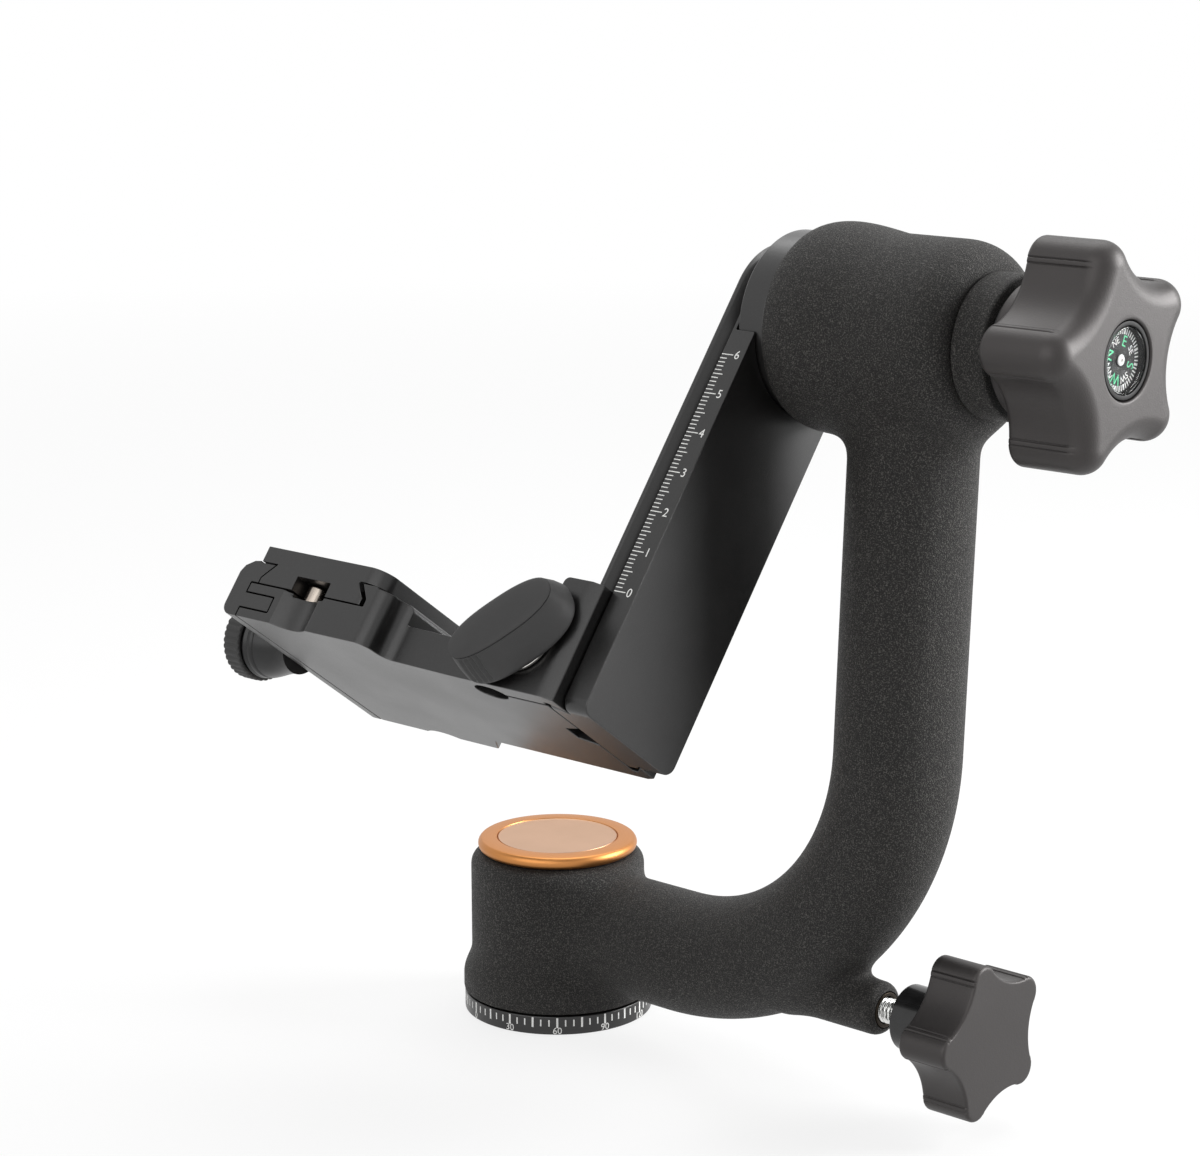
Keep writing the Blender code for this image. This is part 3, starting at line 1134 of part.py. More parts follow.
def platform_plan():
    """The platform seen from above, with the curved step between the clamp and the leg."""
    step = (CLAMP_NECK - CLAMP_SHOULDER) / 2
    drop = (LEG_FRONT - CLAMP_FRONT) / 2
    shoulder = (CLAMP_SHOULDER, CLAMP_FRONT + drop)
    hollow = (CLAMP_NECK, LEG_FRONT - drop)
    outline = [(CLAMP_START, CLAMP_FRONT)]
    for x, y in arc((0, 0), 1, -90, 0, 4):
        outline.append((shoulder[0] + step * x, shoulder[1] + drop * y))
    for x, y in arc((0, 0), 1, 180, 90, 4):
        outline.append((hollow[0] + step * x, hollow[1] + drop * y))
    outline += [
        (SLIDER_BLOCK_START, -SLIDER_HALF_WIDTH),
        (CHANNEL_FLOOR + OVERRUN, -SLIDER_HALF_WIDTH),
        (CHANNEL_FLOOR + OVERRUN, SLIDER_HALF_WIDTH),
        (CLAMP_SHOULDER + step, SLIDER_HALF_WIDTH),
        (CLAMP_SHOULDER + GAP, CLAMP_BACK),
        (CLAMP_START, CLAMP_BACK),
    ]
    return outline


def hook_outline(side):
    """One jaw of the slider seen along Z: an arm beside the rail and a lip in its undercut."""
    slope = RAIL_SLAB_INNER - RAIL_INNER - DOVETAIL_LIP
    gap_across = GAP * math.hypot(slope, DOVETAIL_DEPTH) / slope
    beside = RAIL_HALF_WIDTH + GAP
    lip_end = RAIL_SLAB_INNER - GAP
    tip = RAIL_HALF_WIDTH - DOVETAIL_DEPTH * (lip_end - RAIL_INNER - DOVETAIL_LIP) / slope + gap_across
    root = RAIL_INNER + DOVETAIL_LIP + slope * (gap_across - GAP) / DOVETAIL_DEPTH
    points = [
        (CHANNEL_FLOOR - OVERRUN, SLIDER_HALF_WIDTH),
        (lip_end - JAW_CHAMFER, SLIDER_HALF_WIDTH),
        (lip_end, SLIDER_HALF_WIDTH - JAW_CHAMFER / 2),
        (lip_end, tip),
        (root, beside),
        (CHANNEL_FLOOR, beside),
        (CHANNEL_FLOOR - OVERRUN, beside),
    ]
    return [(x, side * y) for x, y in points]


def make_platform(finish, slider):
    """The L-shaped platform: slider block with a slit front jaw, leg and clamp body."""
    front = CLAMP_FRONT - OVERRUN
    back = CLAMP_BACK + OVERRUN
    low = PLATFORM_BOTTOM - OVERRUN
    high = SLIDER_TOP + OVERRUN
    platform = extruded("platform", platform_side(), "Y", front, back, finish["anodised"], slider)
    plan = extruded("keep_platform_plan", platform_plan(), "Z", low, high, parent=slider)
    combine(platform, [plan], "INTERSECT", "MANIFOLD")
    hooks = []
    for name, side in (("front", -1), ("back", 1)):
        outline = hook_outline(side)
        hook = extruded(f"join_{name}_hook", outline, "Z", PLATFORM_BOTTOM, SLIDER_TOP, parent=slider)
        hooks.append(hook)
    combine(platform, hooks, "UNION", "MANIFOLD")

    slit_back = -SLIDER_HALF_WIDTH + SLIT_OFFSET
    relief_centre = (SLIDER_BLOCK_START + RELIEF_HALF_LENGTH + OVERRUN, slit_back - GAP)
    slit_low = (relief_centre[0], slit_back - SLIT_WIDTH, low)
    slit = box("cut_slit", slit_low, (CHANNEL_FLOOR + OVERRUN, slit_back, high), parent=slider)
    relief_outline = ellipse(relief_centre, RELIEF_HALF_LENGTH, RELIEF_HALF_WIDTH, SMALL_STEPS)
    relief = extruded("cut_relief", relief_outline, "Z", low, high, parent=slider)
    groove_outline = [
        (CHANNEL_FLOOR + OVERRUN, -GROOVE_MOUTH / 2),
        (CHANNEL_FLOOR + OVERRUN, GROOVE_MOUTH / 2),
        (CHANNEL_FLOOR - GROOVE_DEPTH, GROOVE_FLOOR / 2),
        (CHANNEL_FLOOR - GROOVE_DEPTH, -GROOVE_FLOOR / 2),
    ]
    groove = extruded("cut_groove", groove_outline, "Z", low, high, parent=slider)
    scoops = []
    places = (
        ("front", FRONT_SCOOP_CENTRE, CLAMP_FRONT - SCOOP_RADIUS + FRONT_SCOOP_DEPTH),
        ("back", BACK_SCOOP_CENTRE, CLAMP_BACK + SCOOP_RADIUS - BACK_SCOOP_DEPTH),
    )
    for name, x, y in places:
        scoop = disc_profile(SCOOP_RADIUS, low, high)
        scoops.append(turned(f"cut_{name}_scoop", scoop, steps=LARGE_STEPS, parent=slider, place=(x, y, 0)))
    combine(platform, [slit, relief, groove] + scoops, "DIFFERENCE", "MANIFOLD")
    holes = [wing_hole(slider), clamp_hole(slider), spring_pocket(slider)]
    combine(platform, holes + pin_cuts(slider), "DIFFERENCE", "MANIFOLD")


def wing_hole(slider):
    """The hole of the wing screw, from the front into the block."""
    end = -SLIDER_HALF_WIDTH + WING_SCREW_LENGTH - WING_SCREW_GRIP + GAP
    hole = disc_profile(WING_SCREW_RADIUS + GAP, -SLIDER_HALF_WIDTH - OVERRUN, end)
    place = (WING_AXIS_X, 0, WING_AXIS_Z)
    return turned("cut_wing_screw", hole, steps=SMALL_STEPS, parent=slider, place=place, turn=ALONG_Y)


def clamp_hole(slider):
    """The clamp screw's hole through the movable jaw and into the clamp body."""
    start = CLAMP_START - JAW_THICKNESS - 2 * OVERRUN
    hole = disc_profile(CLAMP_SCREW_RADIUS + GAP, start, CLAMP_SCREW_END + GAP)
    place = (0, CLAMP_AXIS_Y, CLAMP_AXIS_Z)
    return turned("cut_clamp_screw", hole, steps=SMALL_STEPS, parent=slider, place=place, turn=ALONG_X)


def spring_pocket(slider):
    """The pocket of the jaw spring, behind the tongue."""
    pocket = disc_profile(CLAMP_SPRING_RADIUS + GAP, TONGUE_END, TONGUE_END + CLAMP_SPRING_LENGTH + 2 * GAP)
    place = (0, CLAMP_AXIS_Y, CLAMP_AXIS_Z)
    return turned("cut_clamp_spring", pocket, steps=SMALL_STEPS, parent=slider, place=place, turn=ALONG_X)


def pin_cuts(slider):
    """The safety pin's hole in the clamp bed and the pocket that opens it to the front."""
    place = (PIN_CENTRE_X, PIN_CENTRE_Y, 0)
    hole = disc_profile(PIN_RADIUS + GAP, PIN_HOLE_FLOOR, BED_TOP + OVERRUN)
    low = (PIN_NOTCH_CENTRE - PIN_NOTCH_HALF_WIDTH, CLAMP_FRONT - OVERRUN, PIN_POCKET_FLOOR)
    high = (PIN_NOTCH_CENTRE + PIN_NOTCH_HALF_WIDTH, PIN_CENTRE_Y, BED_TOP + OVERRUN)
    return [
        turned("cut_pin_hole", hole, steps=SMALL_STEPS, parent=slider, place=place),
        box("cut_pin_pocket", low, high, parent=slider),
    ]


def jaw_side():
    """The movable jaw seen along Y: outer face, hook under the plate and guiding tongue."""
    inner = CLAMP_START - GAP
    outer = CLAMP_START - JAW_THICKNESS
    low_corner = (outer + JAW_BOTTOM_ROUND, PLATFORM_BOTTOM + JAW_BOTTOM_ROUND)
    outline = [(inner, PLATFORM_BOTTOM)]
    outline += arc(low_corner, JAW_BOTTOM_ROUND, 270, 180, 3)
    outline += [
        (outer, JAW_TOP - 2 * JAW_TOP_CHAMFER),
        (outer + JAW_TOP_CHAMFER / 2, JAW_TOP - JAW_TOP_CHAMFER),
        (inner - JAW_TOP_CHAMFER, JAW_TOP - GAP),
        (PLATE_LEFT - GAP, JAW_TOP),
        (PLATE_LEFT - GAP, JAW_HOOK_TOP),
    ]
    outline += [(PLATE_CENTRE - half, height) for half, height in seat_corners(BED_TOP + GAP)]
    outline += [
        (inner, BED_TOP + GAP),
        (inner, TONGUE_TOP),
        (TONGUE_END, TONGUE_TOP),
        (TONGUE_END, TONGUE_BOTTOM),
        (inner, TONGUE_BOTTOM),
    ]
    return outline


def make_clamp(finish, slider):
    """The movable jaw, the screw that pulls it in, its knob and its spring."""
    jaw = extruded("clamp_jaw", jaw_side(), "Y", CLAMP_FRONT, CLAMP_BACK, finish["anodised"], slider)
    combine(jaw, [clamp_hole(slider)], "DIFFERENCE")
    place = (0, CLAMP_AXIS_Y, CLAMP_AXIS_Z)
    knob_end = CLAMP_START - JAW_THICKNESS - GAP
    knob_start = knob_end - CLAMP_KNOB_LENGTH
    neck = CLAMP_KNOB_NECK_RADIUS
    body = CLAMP_KNOB_BODY_RADIUS
    grip_start = knob_start + CLAMP_KNOB_EDGE
    grip_end = grip_start + CLAMP_GRIP_LENGTH
    grip_inner = CLAMP_KNOB_RADIUS - CLAMP_GRIP_WALL
    profile = [
        (0, knob_start),
        (grip_inner - CLAMP_KNOB_EDGE, knob_start),
        (grip_inner - GAP, knob_start + GAP),
        (grip_inner - GAP, grip_end + GAP),
        (body, grip_end + GAP),
    ]
    waist_start = grip_end + GAP
    steps = 4
    for step in range(1, steps + 1):
        share = step / steps
        fall = (1 - math.cos(math.pi * share)) / 2
        profile.append((body - (body - neck) * fall, waist_start + (knob_end - waist_start) * share))
    profile += [(CLAMP_SCREW_RADIUS + GAP, knob_end)]
    screw_start = knob_start + CLAMP_KNOB_LENGTH / 2
    profile += [(CLAMP_SCREW_RADIUS + GAP, screw_start - GAP), (0, screw_start - GAP)]
    turned("clamp_knob", profile, finish["plastic"], MEDIUM_STEPS, slider, place, ALONG_X)
    grip = ring_profile(grip_inner, CLAMP_KNOB_RADIUS, grip_start, grip_end, CLAMP_KNOB_EDGE / 2)
    turned("clamp_knob_grip", grip, finish["rubber"], MEDIUM_STEPS, slider, place, ALONG_X)
    screw = disc_profile(CLAMP_SCREW_RADIUS, screw_start, CLAMP_SCREW_END)
    turned("clamp_screw", screw, finish["steel"], SMALL_STEPS, slider, place, ALONG_X)
    spring = ring_profile(
        CLAMP_SPRING_RADIUS - CLAMP_SPRING_WALL, CLAMP_SPRING_RADIUS, TONGUE_END + GAP,
        TONGUE_END + GAP + CLAMP_SPRING_LENGTH,
    )
    turned("clamp_spring", spring, finish["steel"], SMALL_STEPS, slider, place, ALONG_X)


def make_safety_pin(finish, slider):
    """The sprung pin that stops the plate at the clamp's front, and its spring."""
    place = (PIN_CENTRE_X, PIN_CENTRE_Y, 0)
    inner = PIN_RADIUS - PIN_WALL
    pin = [
        (0, PIN_TOP - PIN_CAP),
        (inner, PIN_TOP - PIN_CAP),
        (inner, PIN_BOTTOM),
        (PIN_RADIUS, PIN_BOTTOM),
        (PIN_RADIUS, PIN_TOP - GAP),
        (PIN_RADIUS - GAP, PIN_TOP),
        (0, PIN_TOP),
    ]
    turned("safety_pin", pin, finish["chrome"], MEDIUM_STEPS, slider, place)
    floor = PIN_HOLE_FLOOR + GAP
    spring_inner = PIN_SPRING_RADIUS - PIN_SPRING_WALL
    spring = ring_profile(spring_inner, PIN_SPRING_RADIUS, floor, floor + PIN_SPRING_HEIGHT)
    turned("safety_pin_spring", spring, finish["steel"], SMALL_STEPS, slider, place)


# Quick-release plate

def plate_side():
    """The plate's dovetail section seen along Y."""
    half = [
        (PLATE_FOOT_HALF_WIDTH, PLATE_BOTTOM),
        (PLATE_FOOT_HALF_WIDTH, PLATE_SLOPE_BOTTOM),
        (PLATE_NECK_HALF_WIDTH, PLATE_FLANGE_BOTTOM),
        (PLATE_HALF_WIDTH, PLATE_FLANGE_BOTTOM),
        (PLATE_HALF_WIDTH, PLATE_TOP),
    ]
    right = [(PLATE_CENTRE + x, z) for x, z in half]
    left = [(PLATE_CENTRE - x, z) for x, z in reversed(half)]
    return right + left


def plate_plan():
    """The plate seen from above, with rounded corners towards the leg."""
    corner = PLATE_RIGHT - PLATE_CORNER
    outline = [(PLATE_LEFT - OVERRUN, PLATE_BACK), (PLATE_LEFT - OVERRUN, PLATE_FRONT)]
    outline += arc((corner, PLATE_FRONT + PLATE_CORNER), PLATE_CORNER, 270, 360, 5)
    outline += arc((corner, PLATE_BACK - PLATE_CORNER), PLATE_CORNER, 0, 90, 5)
    return outline


def make_plate(finish, slider):
    """The quick-release plate with its two pads and its screw."""
    front = PLATE_FRONT - OVERRUN
    back = PLATE_BACK + OVERRUN
    plate = extruded("quick_release_plate", plate_side(), "Y", front, back, finish["anodised"], slider)
    low = PLATE_BOTTOM - OVERRUN
    high = PLATE_TOP + OVERRUN
    combine(plate, [extruded("keep_plate_plan", plate_plan(), "Z", low, high, parent=slider)], "INTERSECT")
    notch = box(
        "cut_pin_notch",
        (PIN_NOTCH_CENTRE - PIN_NOTCH_HALF_WIDTH, PLATE_FRONT - OVERRUN, PLATE_BOTTOM - OVERRUN),
        (PIN_NOTCH_CENTRE + PIN_NOTCH_HALF_WIDTH, PIN_CENTRE_Y + PIN_RADIUS + GAP, PIN_NOTCH_TOP),
        parent=slider,
    )
    cuts = [notch]
    pad_floor = PLATE_TOP + PAD_STANDOUT - PAD_THICKNESS
    middle = (PLATE_FRONT + PLATE_BACK) / 2
    for name, side in (("front", -1), ("back", 1)):
        centre = middle + side * PAD_SPACING
        corner = (PLATE_CENTRE - PAD_WIDTH / 2, centre - PAD_LENGTH / 2)
        far = (PLATE_CENTRE + PAD_WIDTH / 2, centre + PAD_LENGTH / 2)
        low_corner = (corner[0] - GAP, corner[1] - GAP, pad_floor - GAP)
        high_corner = (far[0] + GAP, far[1] + GAP, PLATE_TOP + OVERRUN)
        cuts.append(box(f"cut_{name}_pad", low_corner, high_corner, parent=slider))
        pad_top = pad_floor + PAD_THICKNESS
        box(f"{name}_pad", (*corner, pad_floor), (*far, pad_top), finish["rubber"], slider)
    head_bottom = PLATE_BOTTOM + PLATE_SCREW_SINK
    head_top = head_bottom + PLATE_SCREW_HEAD_HEIGHT
    screw = [
        (0, head_bottom),
        (PLATE_SCREW_HEAD_RADIUS, head_bottom),
        (PLATE_SCREW_HEAD_RADIUS, head_top),
        (PLATE_SCREW_RADIUS, head_top),
        (PLATE_SCREW_RADIUS, PLATE_TOP + PLATE_SCREW_STANDOUT),
        (0, PLATE_TOP + PLATE_SCREW_STANDOUT),
    ]
    hole = [
        (0, PLATE_BOTTOM - OVERRUN),
        (PLATE_SCREW_HEAD_RADIUS + GAP, PLATE_BOTTOM - OVERRUN),
        (PLATE_SCREW_HEAD_RADIUS + GAP, head_top + GAP),
        (PLATE_SCREW_RADIUS + GAP, head_top + GAP),
        (PLATE_SCREW_RADIUS + GAP, PLATE_TOP + OVERRUN),
        (0, PLATE_TOP + OVERRUN),
    ]
    place = (PLATE_CENTRE, middle, 0)
    cuts.append(turned("cut_plate_screw", hole, steps=MEDIUM_STEPS, parent=slider, place=place))
    turned("plate_screw", screw, finish["steel"], MEDIUM_STEPS, slider, place)
    combine(plate, cuts, "DIFFERENCE")


# Wing knob

def oval(half_length, half_width, height):
    """One ring of the wing knob: an ellipse pressed a little towards its bounding box."""
    ring = []
    for x, y in ellipse((0, 0), 1, 1, 28):
        along = half_length * math.copysign(abs(x) ** WING_SQUARENESS_SHARE, x)
        across = half_width * math.copysign(abs(y) ** WING_SQUARENESS_SHARE, y)
        ring.append(
            (
                along * math.cos(WING_TURN) - across * math.sin(WING_TURN),
                along * math.sin(WING_TURN) + across * math.cos(WING_TURN),
                height,
            )
        )
    return ring


def make_wing_knob(finish, slider):
    """The wing knob that closes the slider's front jaw, with its washer and screw."""
    place = (WING_AXIS_X, -SLIDER_HALF_WIDTH, WING_AXIS_Z)
    away = (math.pi / 2, 0, 0)
    washer_top = GAP + WING_WASHER_THICKNESS
    washer = ring_profile(WING_SCREW_RADIUS + GAP, WING_WASHER_RADIUS, GAP, washer_top, GAP)
    turned("wing_washer", washer, finish["chrome"], MEDIUM_STEPS, slider, place, away)
    start = washer_top + WING_START_GAP
    rings = []
    for height_share, length_share, width_share in WING_LEVEL_SHARES:
        height = start + WING_HEIGHT * height_share
        rings.append(oval(WING_HALF_LENGTH * length_share, WING_HALF_WIDTH * width_share, height))
    knob = lofted("wing_knob", rings, finish["rubber"], slider, place, away)
    bore = disc_profile(WING_SCREW_RADIUS + GAP, start - OVERRUN, start + WING_SCREW_GRIP + GAP)
    combine(knob, [turned("cut_wing_knob", bore, None, SMALL_STEPS, slider, place, away)], "DIFFERENCE")
    screw_top = start + WING_SCREW_GRIP
    screw = disc_profile(WING_SCREW_RADIUS, screw_top - WING_SCREW_LENGTH, screw_top)
    turned("wing_screw", screw, finish["steel"], SMALL_STEPS, slider, place, away)


def settle():
    """Gives each cut piece its final mesh, so that the edges of its cuts are shaded sharp too."""
    graph = bpy.context.evaluated_depsgraph_get()
    for item in list(bpy.data.objects):
        if item.hide_render or not item.modifiers:
            continue
        mesh = bpy.data.meshes.new_from_object(item.evaluated_get(graph))
        item.modifiers.clear()
        item.data = mesh
        mesh.shade_smooth()
        mesh.set_sharp_from_angle(angle=SMOOTH_ANGLE)


def main():
    """Clears the scene and builds every piece of the head."""
    for item in list(bpy.data.objects):
        bpy.data.objects.remove(item)
    finish = make_materials()
    swing = empty("tilt_axis", (0, 0, TILT_AXIS_HEIGHT), turn=(-SWING_ANGLE, 0, 0))
    slider = empty("slider_frame", (0, 0, 0), swing)
    make_base(finish)
    make_arm(finish)
    make_pan_lock(finish)
    screw_holes = make_axle(finish, swing)
    make_rail(finish, swing, screw_holes)
    make_tilt_knob(finish)
    make_platform(finish, slider)
    make_clamp(finish, slider)
    make_safety_pin(finish, slider)
    make_plate(finish, slider)
    make_wing_knob(finish, slider)
    settle()


main()
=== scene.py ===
"""Looks of the gimbal tripod head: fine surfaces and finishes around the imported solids.

Sizes are in metres and +Z is up. Pieces of the swinging group are worked out in a frame
of their own, whose origin lies on the tilt axis and whose Z runs up along the rail.
"""

import math

import bpy
import numpy as np
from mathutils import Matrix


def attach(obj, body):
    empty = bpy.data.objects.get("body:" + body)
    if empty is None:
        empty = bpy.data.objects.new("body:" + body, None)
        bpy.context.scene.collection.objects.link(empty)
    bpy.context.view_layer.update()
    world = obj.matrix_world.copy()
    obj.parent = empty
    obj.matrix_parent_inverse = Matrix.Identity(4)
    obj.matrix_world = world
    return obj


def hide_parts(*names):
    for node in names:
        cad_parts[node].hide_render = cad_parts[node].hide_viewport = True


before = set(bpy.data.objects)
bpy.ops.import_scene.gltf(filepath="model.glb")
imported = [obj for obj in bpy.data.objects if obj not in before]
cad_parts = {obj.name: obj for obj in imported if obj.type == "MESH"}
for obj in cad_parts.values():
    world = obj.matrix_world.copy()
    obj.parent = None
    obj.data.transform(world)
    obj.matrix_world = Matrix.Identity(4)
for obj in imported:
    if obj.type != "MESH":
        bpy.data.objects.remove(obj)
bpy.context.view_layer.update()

import openvdb
from mathutils import Matrix, Vector

# Places and sizes that the solids also have
TILT_HEIGHT = 0.18204
SWING_ANGLE = math.radians(36.52)
RUN_HEIGHT = 0.0237
GAP = 0.0003
OVERRUN = 0.002
FULL_TURN = 2 * math.pi
QUARTER_TURN = math.pi / 2

SMOOTH_ANGLE = math.radians(32)
FINE = 160
MEDIUM = 96
SMALL = 48


# Meshes

def linked(name, data):
    """A new object that holds the data, in the scene."""
    made = bpy.data.objects.new(name, data)
    bpy.context.scene.collection.objects.link(made)
    return made


def outward(points, faces):
    """True where the faces enclose a positive volume, the sum of their corner products."""
    triangles = [face[:3] for face in faces]
    triangles += [[face[0], face[2], face[3]] for face in faces if len(face) == 4]
    corners = points[np.array(triangles)]
    return np.einsum("ij,ij->", corners[:, 0], np.cross(corners[:, 1], corners[:, 2])) > 0


def mesh_object(name, points, faces):
    """An object at the origin that holds the points and faces, turned to face outwards."""
    points = np.asarray(points, float)
    if not outward(points, faces):
        faces = [face[::-1] for face in faces]
    mesh = bpy.data.meshes.new(name)
    mesh.from_pydata(points.tolist(), [], faces)
    mesh.update()
    return linked(name, mesh)


def skin(name, rows, ring=False):
    """Quads between rows of points that close round, with a fan on the middle of each end.

    A ring joins its last row to the first instead.
    """
    rows = np.asarray(rows, float)
    count, columns = rows.shape[:2]
    low = np.arange(count * columns).reshape(count, columns)
    high = np.roll(low, -1, axis=0)
    quads = np.stack([low, np.roll(low, -1, axis=1), np.roll(high, -1, axis=1), high], axis=-1)
    points = rows.reshape(-1, 3)
    if ring:
        return mesh_object(name, points, quads.reshape(-1, 4).tolist())
    faces = quads[:-1].reshape(-1, 4).tolist()
    start, end, middle = low[0], low[-1], np.full(columns, len(points))
    faces += np.stack([np.roll(start, -1), start, middle], axis=-1).tolist()
    faces += np.stack([end, np.roll(end, -1), middle + 1], axis=-1).tolist()
    return mesh_object(name, np.vstack([points, rows[0].mean(axis=0), rows[-1].mean(axis=0)]), faces)


def extrusion(name, outline, axis, start, end):
    """A flat outline carried along X, Y or Z from start to end.

    The outline's two coordinates are (y, z), (x, z) or (x, y) for the three axes.
    """
    outline = np.asarray(outline, float)
    count = len(outline)
    index = np.arange(count)
    after = np.roll(index, -1)
    faces = np.stack([index, after, after + count, index + count], axis=-1).tolist()
    faces += [index[::-1].tolist(), (index + count).tolist()]
    ends = [np.insert(outline, "XYZ".index(axis), level, axis=1) for level in (start, end)]
    return mesh_object(name, np.vstack(ends), faces)


def block(name, low, high):
    """A block between two corners."""
    outline = [(low[0], low[1]), (high[0], low[1]), (high[0], high[1]), (low[0], high[1])]
    return extrusion(name, outline, "Z", low[2], high[2])


def arc(centre, radius, start, end, steps):
    """Points along an arc, both ends included; angles in degrees."""
    angle = np.radians(np.linspace(start, end, steps + 1))
    return np.stack([centre[0] + radius * np.cos(angle), centre[1] + radius * np.sin(angle)], axis=-1)


def rounded(corners, radius, steps=4, closed=False):
    """A line with an arc in place of each corner, tangent to both sides.

    The arc starts where half the corner's turn has the tangent radius over distance,
    and is drawn in closer where a side is too short for it.
    """
    corners = np.asarray(corners, float)
    count = len(corners)
    share = np.linspace(0, 1, steps + 1)[:, None]
    points = []
    for index, corner in enumerate(corners):
        back = corners[index - 1] - corner
        ahead = corners[(index + 1) % count] - corner
        back_length, ahead_length = np.linalg.norm(back), np.linalg.norm(ahead)
        back, ahead = back / back_length, ahead / ahead_length
        half = math.acos(max(-1, min(1, float(back @ ahead)))) / 2
        at_end = not closed and index in (0, count - 1)
        if at_end or half > math.radians(88):
            points.append(corner[None])
            continue
        reach = min(radius / math.tan(half), 0.45 * back_length, 0.45 * ahead_length)
        middle = (back + ahead) / np.linalg.norm(back + ahead)
        centre = corner + middle * reach / math.cos(half)
        start, end = corner + back * reach - centre, corner + ahead * reach - centre
        turn = math.pi - 2 * half
        swing = np.sin((1 - share) * turn) * start + np.sin(share * turn) * end
        points.append(centre + swing / math.sin(turn))
    return np.vstack(points)


def ring_section(inner, outer, start, end, edge):
    """The closed section of a ring, as (radius, height), with its edges rounded."""
    return rounded([(inner, start), (outer, start), (outer, end), (inner, end)], edge, closed=True)


def stepped(start, *steps):
    """The profile of a stepped rod or bore, from its start and each step's (radius, end)."""
    profile = []
    for radius, end in steps:
        profile += [(radius, start), (radius, end)]
        start = end
    return profile


def turned(profile, sides=MEDIUM):
    """Rows of points that carry (radius, height) points round the Z axis in equal steps."""
    profile = np.asarray(profile, float)
    angle = FULL_TURN * np.arange(sides) / sides
    radius, height = profile[:, :1], profile[:, 1:]
    return np.stack([radius * np.cos(angle), radius * np.sin(angle), height + 0 * angle], axis=-1)


def swung(points):
    """Points of the swinging frame, turned about the tilt axis and raised to its height."""
    points = np.asarray(points, float)
    x, y, z = points[..., 0], points[..., 1], points[..., 2]
    cosine, sine = math.cos(SWING_ANGLE), math.sin(SWING_ANGLE)
    return np.stack([x, y * cosine + z * sine, TILT_HEIGHT - y * sine + z * cosine], axis=-1)


def along_x(points, y=0.0, z=0.0):
    """Points of a turned piece with its axis laid along +X through (y, z)."""
    points = np.asarray(points, float)
    return np.stack([points[..., 2], points[..., 1] + y, z - points[..., 0]], axis=-1)


def along_front(points, x, z):
    """Points of a turned piece of the swinging frame with its axis laid along -Y."""
    return np.stack([points[..., 0] + x, -points[..., 2], points[..., 1] + z], axis=-1)


def on_tilt_axis(profile, sides=MEDIUM):
    """Rows of a piece turned round the tilt axis, from (radius, x) points."""
    return along_x(turned(profile, sides), z=TILT_HEIGHT)


def on_pan_lock(profile, sides=MEDIUM):
    """Rows of a piece turned round the pan lock's axis, from (radius, x) points."""
    return along_x(turned(profile, sides), z=RUN_HEIGHT)


def moved_mesh(made, change):
    """Puts every point of the object through a function of an array of points."""
    mesh = made.data
    points = np.empty(len(mesh.vertices) * 3)
    mesh.vertices.foreach_get("co", points)
    mesh.vertices.foreach_set("co", change(points.reshape(-1, 3)).ravel())
    mesh.update()
    return made


def settled(made):
    """Bakes the object's modifiers into its mesh."""
    graph = bpy.context.evaluated_depsgraph_get()
    mesh = bpy.data.meshes.new_from_object(made.evaluated_get(graph))
    made.modifiers.clear()
    made.data = mesh
    mesh.name = made.name
    return made


def combined(made, tools, operation):
    """Adds, takes away or keeps what the tools hold, and removes them."""
    for tool in tools:
        change = made.modifiers.new("Shape", "BOOLEAN")
        change.operation = operation
        change.solver = "MANIFOLD"
        change.object = tool
    settled(made)
    for tool in tools:
        bpy.data.objects.remove(tool)


def softened(made, width):
    """Rounds the object's sharp edges."""
    weld = made.modifiers.new("Weld", "WELD")
    weld.merge_threshold = 0.000002
    bevel = made.modifiers.new("Edges", "BEVEL")
    bevel.width = width
    bevel.segments = 2
    bevel.limit_method = "ANGLE"
    bevel.angle_limit = SMOOTH_ANGLE
    bevel.use_clamp_overlap = False
    bevel.miter_outer = "MITER_ARC"
    settled(made)


def joined(parts, name):
    """Several objects made one."""
    bpy.ops.object.select_all(action="DESELECT")
    for part in parts:
        part.select_set(True)
    bpy.context.view_layer.objects.active = parts[0]
    bpy.ops.object.join()
    made = bpy.context.view_layer.objects.active
    made.name = name
    made.data.name = name
    return made


def finished(made, finish, body, stands_for=(), angle=SMOOTH_ANGLE):
    """Smooth shading, material, body and the nodes that the piece stands for."""
    mesh = made.data
    mesh.shade_smooth()
    mesh.set_sharp_from_angle(angle=angle)
    weighted = made.modifiers.new("Even shading", "WEIGHTED_NORMAL")
    weighted.keep_sharp = True
    weighted.weight = 70
    mesh.materials.clear()
    mesh.materials.append(finish)
    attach(made, body)
    if stands_for:
        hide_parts(*stands_for)


# Shared effects of the materials

def feed(tree, made, inputs):
    """Gives each named or numbered input of a node a value, or the output that feeds it."""
    for label, value in inputs.items():
        if isinstance(value, bpy.types.NodeSocket):
            tree.links.new(value, made.inputs[label])
        else:
            made.inputs[label].default_value = value
    return made


def node(tree, kind, inputs, **settings):
    """A new shader node with its settings and inputs."""
    made = tree.nodes.new("ShaderNode" + kind)
    for label, value in settings.items():
        setattr(made, label, value)
    return feed(tree, made, inputs)


def new_group(name, inputs, outputs):
    """An empty node group, its entry's outputs and its exit. An input without a value is a vector."""
    group = bpy.data.node_groups.new(name, "ShaderNodeTree")
    for label, value in inputs.items():
        kind = "NodeSocketVector" if value is None else "NodeSocketFloat"
        socket = group.interface.new_socket(label, in_out="INPUT", socket_type=kind)
        if value is not None:
            socket.default_value = value
    for label in outputs:
        group.interface.new_socket(label, in_out="OUTPUT", socket_type="NodeSocketFloat")
    return group, group.nodes.new("NodeGroupInput").outputs, group.nodes.new("NodeGroupOutput")


